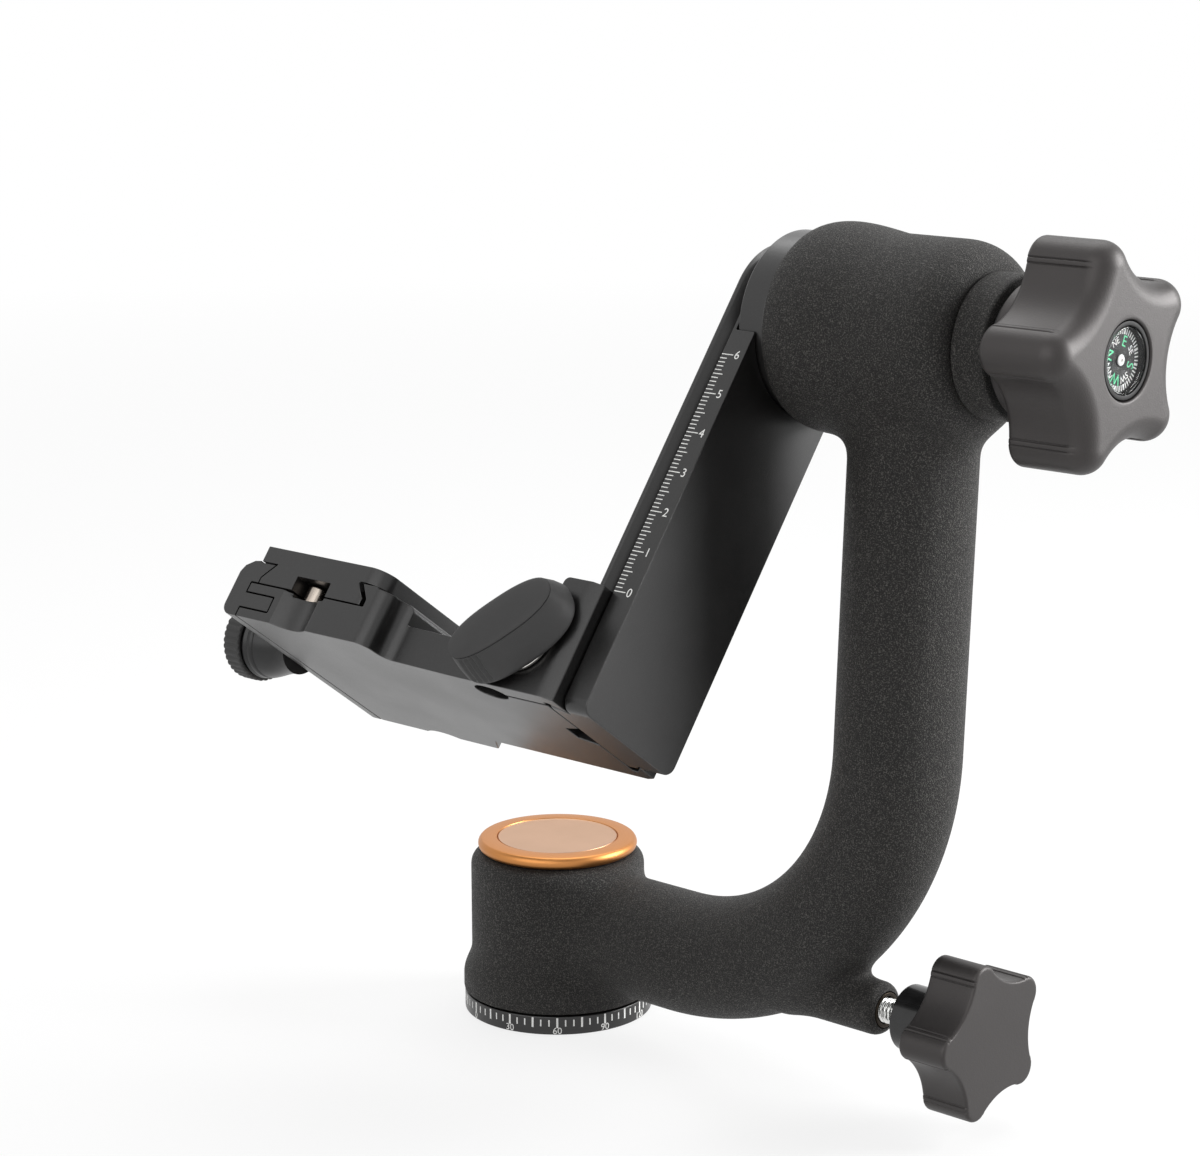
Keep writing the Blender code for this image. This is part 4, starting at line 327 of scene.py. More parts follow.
def grain_group():
    """Fine grain: two sizes of noise mixed, as a height and as a mask of its peaks."""
    inputs = {"Vector": None, "Scale": 1500.0, "Coarse share": 0.4}
    group, entry, leave = new_group("Fine grain", inputs, ["Height", "Peaks"])
    fine_noise = {"Vector": entry["Vector"], "Scale": entry["Scale"], "Detail": 2.0, "Roughness": 0.6}
    fine = node(group, "TexNoise", fine_noise).outputs["Fac"]
    coarse_scale = node(group, "Math", {0: entry["Scale"], 1: 0.37}, operation="MULTIPLY").outputs[0]
    coarse_noise = {"Vector": entry["Vector"], "Scale": coarse_scale, "Detail": 1.0}
    coarse = node(group, "TexNoise", coarse_noise).outputs["Fac"]
    mixed = {0: entry["Coarse share"], 2: fine, 3: coarse}
    height = node(group, "Mix", mixed, data_type="FLOAT").outputs[0]
    peaks = node(group, "MapRange", {0: height, 1: 0.50, 2: 0.67}).outputs[0]
    feed(group, leave, {"Height": height, "Peaks": peaks})
    return group


def drift_group():
    """Slow change over the surface: one wide noise, as a share from 0 to 1."""
    group, entry, leave = new_group("Slow drift", {"Vector": None, "Scale": 30.0}, ["Share"])
    wide_noise = {"Vector": entry["Vector"], "Scale": entry["Scale"], "Detail": 3.0, "Roughness": 0.55}
    wide = node(group, "TexNoise", wide_noise).outputs["Fac"]
    share = node(group, "MapRange", {0: wide, 1: 0.3, 2: 0.7}).outputs[0]
    feed(group, leave, {"Share": share})
    return group


def rings_group():
    """Turning marks: noise read along the distance from the axis, so that it makes circles."""
    inputs = {"Vector": None, "Scale": 4000.0}
    group, entry, leave = new_group("Turning marks", inputs, ["Height", "Distance"])
    parts = node(group, "SeparateXYZ", {0: entry["Vector"]}).outputs
    flat = node(group, "CombineXYZ", {"X": parts["X"], "Y": parts["Y"]}).outputs[0]
    away = node(group, "VectorMath", {0: flat}, operation="LENGTH").outputs["Value"]
    total = node(group, "Math", {0: away, 1: parts["Z"]}, operation="ADD").outputs[0]
    ring_noise = {"W": total, "Scale": entry["Scale"], "Detail": 2.0}
    height = node(group, "TexNoise", ring_noise, noise_dimensions="1D").outputs["Fac"]
    feed(group, leave, {"Height": height, "Distance": away})
    return group


GRAIN = grain_group()
DRIFT = drift_group()
RINGS = rings_group()


# Finishes

class Finish:
    """One material in the making: a Principled shader and the nodes that feed it."""

    def __init__(self, name, roughness, metallic=0.0, **sockets):
        self.material = bpy.data.materials.new(name)
        self.material.use_nodes = True
        self.tree = self.material.node_tree
        self.place = self.tree.nodes.new("ShaderNodeTexCoord").outputs["Object"]
        self.shader = self.tree.nodes["Principled BSDF"]
        self.set(Roughness=roughness, Metallic=metallic, **sockets)

    def set(self, **sockets):
        """Gives the shader's sockets a value, or the output that feeds them."""
        feed(self.tree, self.shader, {label.replace("_", " "): value for label, value in sockets.items()})

    def effect(self, group, scale, vector=None, **values):
        """The outputs of a shared effect that reads the object's coordinates."""
        made = self.tree.nodes.new("ShaderNodeGroup")
        made.node_tree = group
        inputs = {label.replace("_", " "): value for label, value in values.items()}
        return feed(self.tree, made, {"Vector": vector or self.place, "Scale": scale, **inputs}).outputs

    def drift(self, scale):
        """The share of a slow change over the surface."""
        return self.effect(DRIFT, scale)["Share"]

    def colour(self, share, low, high):
        """Mixes the base colour by a share, from a colour or an earlier mix to a further colour."""
        start = low if isinstance(low, bpy.types.NodeSocket) else (*low, 1)
        inputs = {"Factor": share, "A": start, "B": (*high, 1)}
        mixed = node(self.tree, "Mix", inputs, data_type="RGBA").outputs["Result"]
        self.set(Base_Color=mixed)
        return mixed

    def roughness(self, share, low, high):
        """Lets the roughness follow a share between two values."""
        self.set(Roughness=node(self.tree, "MapRange", {0: share, 3: low, 4: high}).outputs[0])

    def bump(self, height, depth, strength, below=None):
        """Adds relief of a depth in metres, on top of an earlier relief."""
        inputs = {"Strength": strength, "Distance": depth, "Height": height}
        if below:
            inputs["Normal"] = below
        relief = node(self.tree, "Bump", inputs).outputs[0]
        self.set(Normal=relief)
        return relief


def powder_coat():
    """Black wrinkle powder coat: pebbled grain whose peaks catch the light, with a painted highlight that
    lightens their colour.
    """
    made = Finish("Powder coat", 0.60, Specular_IOR_Level=0.23)
    grain = made.effect(GRAIN, 3400.0, Coarse_share=0.12)
    base = made.colour(made.drift(26.0), (0.0098, 0.0094, 0.0090), (0.0126, 0.0121, 0.0115))
    # Painted highlight: the grain's peaks get a lighter colour, standing in for the light that they
    # catch.
    made.colour(grain["Peaks"], base, (0.082, 0.0775, 0.072))
    made.roughness(grain["Peaks"], 0.64, 0.40)
    made.bump(grain["Height"], 0.00045, 1.0)
    return made.material


def black_anodised():
    """Bead-blasted, black anodised aluminium: an even satin with a very fine grain."""
    made = Finish("Black anodised", 0.31, Specular_IOR_Level=0.60)
    grain = made.effect(GRAIN, 4300.0, Coarse_share=0.2)
    drift = made.drift(38.0)
    base = made.colour(drift, (0.0030, 0.0028, 0.0028), (0.0044, 0.0041, 0.0040))
    made.colour(grain["Peaks"], base, (0.011, 0.0105, 0.0105))
    made.roughness(drift, 0.28, 0.34)
    made.bump(grain["Height"], 0.00004, 0.7)
    return made.material


def gold_anodised():
    """Satin gold anodised aluminium, with turning marks and a deeper tone outside its groove."""
    groove_inside, groove_outside = 0.0148, 0.0154
    made = Finish("Gold anodised", 0.34, 1.0)
    marks = made.effect(RINGS, 5200.0)
    base = made.colour(made.drift(55.0), (0.475, 0.295, 0.188), (0.52, 0.325, 0.212))
    span = {0: marks["Distance"], 1: groove_inside, 2: groove_outside}
    made.colour(node(made.tree, "MapRange", span).outputs[0], base, (0.50, 0.215, 0.068))
    made.roughness(marks["Height"], 0.36, 0.46)
    below = made.bump(marks["Height"], 0.000012, 0.5)
    made.bump(made.effect(GRAIN, 4200.0)["Height"], 0.00002, 0.4, below)
    return made.material


def moulded_plastic():
    """Moulded plastic: satin, with the fine spark texture of its mould."""
    warm = (1.0, 0.95, 0.94, 1.0)
    made = Finish("Moulded plastic", 0.46, Specular_IOR_Level=0.50, Specular_Tint=warm)
    grain = made.effect(GRAIN, 2900.0, Coarse_share=0.25)
    drift = made.drift(42.0)
    made.colour(drift, (0.0155, 0.0139, 0.0136), (0.0205, 0.0185, 0.0180))
    made.roughness(drift, 0.43, 0.49)
    made.bump(grain["Height"], 0.00007, 0.6)
    return made.material


def soft_rubber():
    """Matt soft-touch rubber with a slight bloom."""
    made = Finish("Soft rubber", 0.62, Specular_IOR_Level=0.4)
    grain = made.effect(GRAIN, 3800.0, Coarse_share=0.5)
    made.colour(made.drift(60.0), (0.025, 0.0247, 0.0247), (0.034, 0.0336, 0.0336))
    made.bump(grain["Height"], 0.00005, 0.6)
    return made.material


def turned_metal(name, low, high, roughness, rotation=(0, 0, 0)):
    """Bare turned metal: fine marks that circle the piece's axis, which rotation lays along Z."""
    made = Finish(name, roughness, 1.0)
    place = node(made.tree, "Mapping", {"Vector": made.place, "Rotation": rotation}).outputs[0]
    marks = made.effect(RINGS, 6500.0, place)["Height"]
    made.colour(made.drift(90.0), low, high)
    made.roughness(marks, 0.7 * roughness, 1.3 * roughness)
    made.bump(marks, 0.00001, 0.5)
    return made.material


def printed(name, colour):
    """Printed or inlaid paint with a slightly uneven surface."""
    made = Finish(name, 0.55)
    drift = made.drift(900.0)
    made.colour(drift, [0.82 * part for part in colour], colour)
    made.bump(drift, 0.00001, 0.4)
    return made.material


def smooth_black(name, roughness, level):
    """Smooth black plastic, by its roughness and the level of its reflections."""
    made = Finish(name, roughness, Specular_IOR_Level=level)
    drift = made.drift(300.0)
    made.colour(drift, (0.008, 0.008, 0.008), (0.014, 0.014, 0.0145))
    made.bump(drift, 0.00001, 0.3)
    return made.material


def clear_cover():
    """A thin clear cover: mostly see-through, with a mirror of its own by Fresnel."""
    made = Finish("Clear cover", 0.03, IOR=1.15, Transmission_Weight=1.0)
    made.colour(made.drift(200.0), (0.95, 0.97, 0.98), (1.0, 1.0, 1.0))
    return made.material


POWDER = powder_coat()
ANODISED = black_anodised()
GOLD = gold_anodised()
PLASTIC = moulded_plastic()
RUBBER = soft_rubber()
STEEL = turned_metal("Turned steel", (0.50, 0.50, 0.51), (0.60, 0.60, 0.60), 0.26)
ZINC = turned_metal("Zinc plate", (0.70, 0.71, 0.70), (0.80, 0.80, 0.78), 0.20, (0, QUARTER_TURN, 0))
CHROME = turned_metal("Chrome", (0.62, 0.59, 0.56), (0.72, 0.70, 0.67), 0.14)
# Painted shade: the stop pin's chrome is painted darker and browner, standing in for the dim surroundings
# that it reflects.
SHADED_CHROME = turned_metal("Shaded chrome", (0.34, 0.29, 0.25), (0.44, 0.39, 0.34), 0.18)
BRASS = turned_metal("Brass", (0.60, 0.43, 0.18), (0.68, 0.50, 0.23), 0.30)
DARK_BRONZE = turned_metal("Dark bronze", (0.030, 0.024, 0.018), (0.042, 0.034, 0.026), 0.42)
BLACK_STEEL = turned_metal("Black steel", (0.025, 0.025, 0.027), (0.04, 0.04, 0.042), 0.34)
WHITE = printed("White print", (0.90, 0.90, 0.88))
GREEN = printed("Green print", (0.12, 0.72, 0.36))
COMPASS = smooth_black("Compass black", 0.50, 0.20)
SATIN = smooth_black("Satin black", 0.33, 0.36)
GLOSS = smooth_black("Gloss black", 0.17, 0.50)
COVER = clear_cover()


# The cast arm

TUBE_RADIUS = 0.0148
BEND_START = 0.0425
BEND_RADIUS = 0.0650
BEND_ANGLE = math.radians(87.6)
TUBE_TOP = TILT_HEIGHT - 0.012
HOUSING_WALL = 0.0219
HOUSING_BOTTOM = 0.0050
HOUSING_TOP = 0.0412
HUB_START = 0.0843
HUB_END = 0.1312
BOSS_RADIUS = 0.0064
BOSS_ROOT = 0.0800
BOSS_END = 0.1056
FILLET = 0.0045
HUB_FILLET = 0.0060
CELL = 0.0007


def smooth_union(first, second, reach):
    """The lower of two distances, less a term that grows as they come within reach of each other.

    The term is a quarter of the reach times the square of the closeness share.
    """
    near = np.maximum(reach - np.abs(first - second), 0) / reach
    return np.minimum(first, second) - near * near * reach / 4


def profile_distance(corners, radius, height):
    """Signed distance from (radius, height) to a closed profile, less than zero inside.

    It is that to the nearest side, and a point is inside where an odd number of sides cross
    its level beyond it. It is worked out on a flat grid, and read between the grid's points.
    """
    low, high, step = corners.min(axis=0) - 0.012, corners.max(axis=0) + 0.012, 0.0003
    r, h = np.meshgrid(np.arange(0, high[0], step), np.arange(low[1], high[1], step), indexing="ij")
    nearest = np.full(r.shape, 1.0)
    inside = np.zeros(r.shape, bool)
    for start, end in zip(corners, np.roll(corners, -1, axis=0)):
        along = end - start
        right, up = r - start[0], h - start[1]
        share = np.clip((right * along[0] + up * along[1]) / max(along @ along, 1e-12), 0, 1)
        nearest = np.minimum(nearest, np.hypot(right - share * along[0], up - share * along[1]))
        crosses = (start[1] > h) != (end[1] > h)
        inside ^= crosses & (right < up / (along[1] if along[1] else 1e-12) * along[0])
    table = np.where(inside, -nearest, nearest)
    a = np.clip(radius / step, 0, table.shape[0] - 1.001)
    b = np.clip((height - low[1]) / step, 0, table.shape[1] - 1.001)
    i, j = a.astype(int), b.astype(int)
    u, v = a - i, b - j
    lower = table[i, j] * (1 - u) + table[i + 1, j] * u
    upper = table[i, j + 1] * (1 - u) + table[i + 1, j + 1] * u
    return lower * (1 - v) + upper * v


def housing_profile():
    """The pan housing: a flared foot that runs into a straight wall, and a soft shoulder."""
    flare, foot, shoulder_round = 0.0021, 0.0115, 0.0035
    share = np.linspace(0, 1, 16)
    radius = HOUSING_WALL + flare * (1 + np.cos(math.pi * share)) / 2
    curve = np.stack([radius, HOUSING_BOTTOM + foot * (0.35 + 0.65 * share)], axis=-1)
    base = HOUSING_BOTTOM - OVERRUN
    centre = (HOUSING_WALL - shoulder_round, HOUSING_TOP - shoulder_round)
    shoulder = arc(centre, shoulder_round, 0, 90, 8)
    return np.vstack([[(0, base), (HOUSING_WALL + flare, base)], curve, shoulder, [(0, HOUSING_TOP)]])


def hub_profile():
    """The tilt hub along its axis: a bulge, a barrel, and a quarter ellipse for its outer shoulder."""
    root, barrel, swell, bulge_length = 0.0212, 0.0224, 0.00228, 0.0205
    shoulder_drop, shoulder_length = 0.0060, 0.0090
    share = np.linspace(0, 1, 24)
    radius = root + (barrel - root) * share + swell * np.sin(math.pi * (0.12 + 0.88 * share))
    bulge = np.stack([radius, HUB_START + bulge_length * share ** 1.5], axis=-1)
    angle = np.linspace(0, QUARTER_TURN, 12)
    shoulder_radius = barrel - shoulder_drop * (1 - np.cos(angle))
    shoulder = np.stack([shoulder_radius, HUB_END - shoulder_length * (1 - np.sin(angle))], axis=-1)
    return np.vstack([[(0, HUB_START)], bulge, shoulder, [(0, HUB_END)]])


def tube_distance(x, y, z):
    """Distance to the arm tube: a straight run, an arc and a straight leg, less the tube radius."""
    centre_z = RUN_HEIGHT + BEND_RADIUS
    angle = np.arctan2(x - BEND_START, centre_z - z)
    bend = np.hypot(x - BEND_START, z - centre_z) - BEND_RADIUS
    cosine, sine = math.cos(BEND_ANGLE), math.sin(BEND_ANGLE)
    end_x, end_z = BEND_START + BEND_RADIUS * sine, centre_z - BEND_RADIUS * cosine
    leg = (x - end_x) * sine - (z - end_z) * cosine
    upper = np.where((angle > BEND_ANGLE) | (z > centre_z), leg, bend)
    across = np.where(x < BEND_START, RUN_HEIGHT - z, upper)
    return np.maximum(np.maximum(np.hypot(across, y) - TUBE_RADIUS, z - TUBE_TOP), -x)


def boss_distance(x, across):
    """Distance to the pan lock's boss: a rod with a rounded end, by x and the distance across."""
    edge = 0.0026
    end = np.stack([across - BOSS_RADIUS + edge, x - BOSS_END + edge])
    rod = np.hypot(*np.maximum(end, 0)) + np.minimum(end.max(axis=0), 0) - edge
    return np.maximum(rod, BOSS_ROOT - x)


def arm_surface():
    """The cast arm: housing, tube, hub and boss as distances, joined with fillets and meshed at zero."""
    low, high = np.array([-0.027, -0.028, 0.002]), np.array([0.135, 0.028, 0.211])
    axes = [np.arange(start, end, CELL) for start, end in zip(low, high)]
    x, y, z = np.meshgrid(*axes, indexing="ij")
    solid = smooth_union(tube_distance(x, y, z), boss_distance(x, np.hypot(y, z - RUN_HEIGHT)), FILLET)
    solid = smooth_union(solid, profile_distance(housing_profile(), np.hypot(x, y), z), FILLET)
    hub = profile_distance(hub_profile(), np.hypot(y, z - TILT_HEIGHT), x)
    solid = smooth_union(solid, hub, HUB_FILLET)
    solid = np.maximum(solid, HOUSING_BOTTOM - z)
    solid = np.maximum(solid, np.where(z > 0.12, HUB_START - x, -1))
    solid = np.maximum(solid, np.where(np.hypot(x, y) < HOUSING_WALL, z - HOUSING_TOP, -1))
    volume = openvdb.FloatGrid(1.0)
    volume.copyFromArray((solid / CELL).astype(np.float32))
    points, quads = volume.convertToQuads(isovalue=0.0)
    return points * CELL + low, quads.tolist()


def make_arm():
    """The cast arm with its bores, and the collar on its hub."""
    bearing, spindle, seat = 0.0150, 0.0105, 0.0133
    axle_bearing, rod, bush = 0.0160, 0.0033, 0.0045
    arm = mesh_object("arm_casting", *arm_surface())
    pan_bore = stepped(0, (bearing, 0.0138), (spindle, 0.0303), (seat, 0.05))
    hub_bore = stepped(0.080, (axle_bearing, 0.0953), (spindle, 0.1197), (seat, 0.14))
    rod_bore = stepped(0, (rod, 0.0953), (bush, 0.11))
    tools = [
        skin("pan_bore", turned(pan_bore, FINE)),
        skin("hub_bore", on_tilt_axis(hub_bore, FINE)),
        skin("rod_bore", on_pan_lock(rod_bore, SMALL)),
    ]
    combined(arm, tools, "DIFFERENCE")
    finished(arm, POWDER, "arm", ["arm"], math.radians(50))

    spigot, outer, inner = 0.0130, 0.01608, 0.0073
    start, end = HUB_END + GAP, 0.1400
    spigot_start = start - 0.003
    profile = stepped(spigot_start, (spigot, start), (outer, end)) + [(inner, end), (inner, spigot_start)]
    rows = on_tilt_axis(rounded(profile, 0.0007, closed=True), FINE)
    finished(skin("hub_collar", rows, ring=True), POWDER, "arm", ["tilt_collar"])


def make_cap():
    """The gold cap: a crowned rim, a fine groove and a faintly dished middle."""
    bottom, top, outer, rim_round = 0.0415, 0.0447, 0.0201, 0.0017
    spigot_inner, spigot, spigot_bottom, inside = 0.0115, 0.0130, 0.0383, 0.0417
    rim = arc((outer - rim_round, top - rim_round), rim_round, -60, 62, 10)
    crown = [(0.0168, top - 0.00005), (0.01540, top - 0.00012)]
    groove = [(0.01518, top - 0.00055), (0.01496, top - 0.00018)]
    dish_radius = np.linspace(0.0145, 0.0012, 14)
    fall = 1 - (dish_radius / dish_radius[0]) ** 2
    dish = np.stack([dish_radius, top - 0.00030 - 0.00012 * fall], axis=-1)
    under = [
        (spigot_inner, inside), (spigot_inner, spigot_bottom), (spigot, spigot_bottom), (spigot, bottom),
        (0.0192, bottom),
    ]
    profile = np.vstack([under, rim, crown, groove, dish])
    finished(skin("gold_cap", turned(profile, FINE)), GOLD, "arm", ["pan_cap"])


# The scale ring and its marks

RING_RADIUS = 0.02375
RING_HEIGHT = 0.0047
FACE_NUMBER_ANGLE = math.radians(-47.2)
PRINT = 0.00003


def lettering(name, words, size):
    """Words as thin flat solids, each as (text, function that puts its points in place)."""
    parts = []
    for text, place in words:
        curve = bpy.data.curves.new("Lettering", "FONT")
        curve.body = text
        curve.size = size
        curve.align_x = "CENTER"
        curve.align_y = "CENTER"
        curve.resolution_u = 4
        curve.extrude = PRINT
        carrier = linked("Lettering", curve)
        bpy.context.view_layer.update()
        graph = bpy.context.evaluated_depsgraph_get()
        mesh = bpy.data.meshes.new_from_object(carrier.evaluated_get(graph))
        bpy.data.objects.remove(carrier)
        parts.append(moved_mesh(linked(name, mesh), place))
    return parts


def printed_marks(name, low, high, place):
    """Thin blocks as one mesh, each from a low to a high (across, up), put in place by a function."""
    lows = np.atleast_2d(np.stack(np.broadcast_arrays(*low, -PRINT), axis=-1))
    highs = np.atleast_2d(np.stack(np.broadcast_arrays(*high, PRINT), axis=-1))
    pick = np.array([[i, j, k] for i in (0, 1) for j in (0, 1) for k in (0, 1)], bool)
    points = np.where(pick[None], highs[:, None], lows[:, None])
    sides = [[0, 1, 3, 2], [4, 6, 7, 5], [0, 4, 5, 1], [2, 3, 7, 6], [0, 2, 6, 4], [1, 5, 7, 3]]
    faces = (np.array(sides)[None] + 8 * np.arange(len(lows))[:, None, None]).reshape(-1, 4)
    return mesh_object(name, place(points.reshape(-1, 3)), faces.tolist())


def round_the_ring(angle, lift=0.0):
    """Bends flat points (along, up, proud) round the ring, centred at an angle from +X."""
    def change(points):
        turn = angle + points[:, 0] / RING_RADIUS
        radius = RING_RADIUS + points[:, 2]
        return np.stack([radius * np.cos(turn), radius * np.sin(turn), points[:, 1] + lift], axis=-1)
    return change


def make_base():
    """The scale ring, its marks every five degrees and its numbers every thirty."""
    wall, numbers_height, number_size = 0.0018, 0.0010, 0.0024
    section = ring_section(RING_RADIUS - wall, RING_RADIUS, 0, RING_HEIGHT, edge=0.0003)
    ring = skin("degree_ring", turned(section, FINE), ring=True)
    finished(ring, ANODISED, "base", ["scale_ring"])

    zero_angle = FACE_NUMBER_ANGLE - math.radians(60)
    step = np.arange(72)
    along = (zero_angle + np.radians(5) * step) * RING_RADIUS
    long = step % 3 == 0
    start, end = np.where(long, 0.00185, 0.0022), np.where(long, 0.0044, 0.0039)
    half_width = np.where(long, 0.00025, 0.00017)
    low, high = (along - half_width, start), (along + half_width, end)
    marks = printed_marks("degree_marks", low, high, round_the_ring(0))
    words = []
    for value in range(0, 360, 30):
        words.append((str(value), round_the_ring(zero_angle + math.radians(value), numbers_height)))
    parts = [marks] + lettering("degree_number", words, number_size)
    finished(joined(parts, "degree_marks"), WHITE, "base")


# Lobed knobs

LOBES = 5


class LobedOutline:
    """A knob's outline of round lobes and hollows that meet in a tangent.

    A lobe's centre lies at the tip less its rounding, and a hollow's centre on the line
    between two lobes, at the distance that makes both circles touch. Points, outward
    normals and each point's length along the outline from its lobe's tip are arrays.
    """

    def __init__(self, tip, waist, lobe_round, turn):
        spacing = 0.00015
        half_step = math.pi / LOBES
        distance = tip - lobe_round
        reach = distance * math.cos(half_step)
        excess = distance ** 2 + waist ** 2 - 2 * waist * reach - lobe_round ** 2
        hollow = excess / (2 * (reach + lobe_round - waist))
        centre = np.array([math.cos(half_step), math.sin(half_step)]) * (waist + hollow)
        across = centre - (distance, 0)
        lobe_reach = math.atan2(across[1], across[0])
        hollow_start = math.atan2(-across[1], -across[0])
        hollow_end = 2 * half_step - FULL_TURN - hollow_start
        hollow_length = abs(hollow_end - hollow_start) * hollow
        lobe_steps = int(2 * lobe_reach * lobe_round / spacing)
        lobe = np.linspace(-lobe_reach, lobe_reach, lobe_steps, endpoint=False)
        dip = np.linspace(hollow_start, hollow_end, int(hollow_length / spacing), endpoint=False)
        lobe_normal = np.stack([np.cos(lobe), np.sin(lobe)], axis=-1)
        dip_ray = np.stack([np.cos(dip), np.sin(dip)], axis=-1)
        points = np.vstack([lobe_normal * lobe_round + (distance, 0), dip_ray * hollow + centre])
        normals = np.vstack([lobe_normal, -dip_ray])
        self.lobe_edge = lobe_reach * lobe_round
        dip_along = np.abs(dip - hollow_start) * hollow
        dip_along = self.lobe_edge + np.minimum(dip_along, hollow_length - dip_along)
        self.along = np.tile(np.concatenate([np.abs(lobe) * lobe_round, dip_along]), LOBES)
        angle = turn + QUARTER_TURN + FULL_TURN * np.arange(LOBES) / LOBES
        cosine, sine = np.cos(angle), np.sin(angle)
        turns = np.array([[cosine, sine], [-sine, cosine]]).transpose(2, 0, 1)
        self.points = (points @ turns).reshape(-1, 2)
        self.normals = (normals @ turns).reshape(-1, 2)
        self.angle = np.arctan2(self.points[:, 1], self.points[:, 0])

    def row(self, inset, height, lift=0.0):
        """The outline drawn in by inset, with its hollows sunk and grooved by a share."""
        flat = self.points + self.normals * (lift * self.panel() - inset)[:, None]
        return np.insert(flat, 2, height, axis=1)

    def circles(self, profile):
        """Circles from (radius, height), with a point for each of the outline, at the same angles."""
        ray = np.stack([np.cos(self.angle), np.sin(self.angle)], axis=-1)
        return [np.insert(radius * ray, 2, height, axis=1) for radius, height in profile]

    def panel(self):
        """How far the hollows lie below the lobes: a groove, a strip, a second groove and the floor."""
        edge = self.along - self.lobe_edge + 0.0006
        fall = np.clip(0.5 + (edge - 0.0012) / 0.00030, 0, 1)
        first = np.exp(-(edge / 0.00017) ** 2)
        second = np.exp(-((edge - 0.00125) / 0.00020) ** 2)
        return -0.00022 * fall * fall * (3 - 2 * fall) - 0.00026 * first - 0.00018 * second

    def wall(self, back, back_edge, back_steps):
        """Rows of a rounded edge at the back, whose panels grow with the sine of its angle."""
        rows = []
        for angle in np.linspace(0, QUARTER_TURN, back_steps):
            up, over = math.sin(angle), math.cos(angle)
            rows.append(self.row(back_edge * (1 - up), back + back_edge * (1 - over), up))
        return rows

    def side(self, start, end):
        """Rows of the straight side between two heights, from a tenth of the way."""
        return [self.row(0, start + (end - start) * share, 1.0) for share in np.linspace(0.1, 1, 7)]

    def brow(self, face, face_edge, face_steps, fade):
        """Rows of a rounded edge at the face, whose panels fade out by a function of its angle."""
        rows = []
        for angle in np.linspace(0, QUARTER_TURN, face_steps)[1:]:
            inset = face_edge * (1 - math.cos(angle))
            rows.append(self.row(inset, face - face_edge * (1 - math.sin(angle)), fade(angle)))
        return rows


def between(first, second, shares):
    """Rows at shares of the way from one row to another."""
    return [first * (1 - share) + second * share for share in shares]


def make_tilt_knob():
    """The large knob: boss and bore behind, lobes with a deep rounding, and the compass well."""
    outline = LobedOutline(tip=0.0257, waist=0.0186, lobe_round=0.0058, turn=math.radians(28.5))
    back, face, back_edge, face_edge = 0.1454, 0.16618, 0.0018, 0.0054
    start, bore, bore_end, boss = 0.1414, 0.0078, 0.1582, 0.0152
    well, floor, well_edge, well_foot = 0.0087, 0.1608, 0.0005, 0.0003
    inside = [(0.002, bore_end), (bore, bore_end), (bore, start)]
    behind = [(boss, start), (boss, back - 0.0002), (0.0164, back)]
    rows = outline.circles(rounded(inside + behind, 0.0004)[1:])
    rows += outline.wall(back, back_edge, 9)
    rows += outline.side(back + back_edge, face - face_edge)
    rows += outline.brow(face, face_edge, 22, lambda angle: max(0.0, 1 - angle / 0.42))
    rim = outline.circles([(well + well_edge, face)])[0]
    rows += between(outline.row(face_edge, face), rim, (0.08, 0.5, 0.92))
    rows += outline.circles(arc((well + well_edge, face - well_edge), well_edge, 90, 180, 5))
    rows += outline.circles([(well, floor + well_foot), (well - well_foot, floor)])
    knob = skin("tilt_lobed_knob", along_x(np.array(rows), z=TILT_HEIGHT))
    finished(knob, PLASTIC, "tilt_lock_knob", ["tilt_knob"])
    washer = ring_section(inner=0.0053, outer=0.0140, start=0.1403, end=0.1411, edge=0.0001)
    friction_ring = skin("friction_ring", on_tilt_axis(washer), ring=True)
    finished(friction_ring, RUBBER, "tilt_brake", ["tilt_friction_washer"])


def make_pan_knob():
    """The smaller knob on the pan lock, with a flat face and a cylindrical hub."""
    outline = LobedOutline(tip=0.0190, waist=0.0142, lobe_round=0.0042, turn=math.radians(32))
    hub_start, hub_radius, bore, bore_end = 0.1120, 0.0078, 0.0033, 0.1200
    back, face, edge = 0.1232, 0.1360, 0.0009
    behind = [(bore, bore_end), (bore, back - GAP)]
    behind += [(hub_radius + 0.0006, back - GAP), (hub_radius + 0.0009, back)]
    rows = outline.circles(behind)
    rows += outline.wall(back, edge, 6)
    rows += outline.side(back + edge, face - edge)
    rows += outline.brow(face, edge, 8, lambda angle: 1 - math.sin(angle) ** 3)
    middle = outline.circles([(0.002, face)])[0]
    rows += between(outline.row(edge, face), middle, (0.03, 0.5, 1.0))
    knob = skin("pan_lobed_knob", along_x(np.array(rows), z=RUN_HEIGHT))
    finished(knob, PLASTIC, "pan_lock_knob", ["pan_knob"])
    rows = on_pan_lock(ring_section(bore, hub_radius, hub_start, end=back + 0.0004, edge=0.0005), FINE)
    hub = skin("pan_knob_hub", rows, ring=True)
    finished(hub, GLOSS, "pan_lock_knob", ["pan_knob"])


def threaded(radius, pitch, depth, start, end, sides=40):
    """Rows of a rod with a thread: the radius falls by a rounded wave of height and angle.

    The wave runs once per pitch along the rod and once per turn round it, and fades at both ends.
    """
    height = np.linspace(start, end, max(8, int((end - start) / pitch * 10)))[:, None]
    angle = FULL_TURN * np.arange(sides)[None] / sides
    phase = (height / pitch - angle / FULL_TURN) % 1.0
    wave = np.clip(np.abs(2 * phase - 1) * 1.5 - 0.25, 0, 1)
    ends = np.clip(np.minimum(height - start, end - height) / (0.6 * pitch), 0, 1)
    reach = radius - depth * wave - 0.4 * depth * (1 - ends)
    return np.stack([reach * np.cos(angle), reach * np.sin(angle), height + 0 * angle], axis=-1)


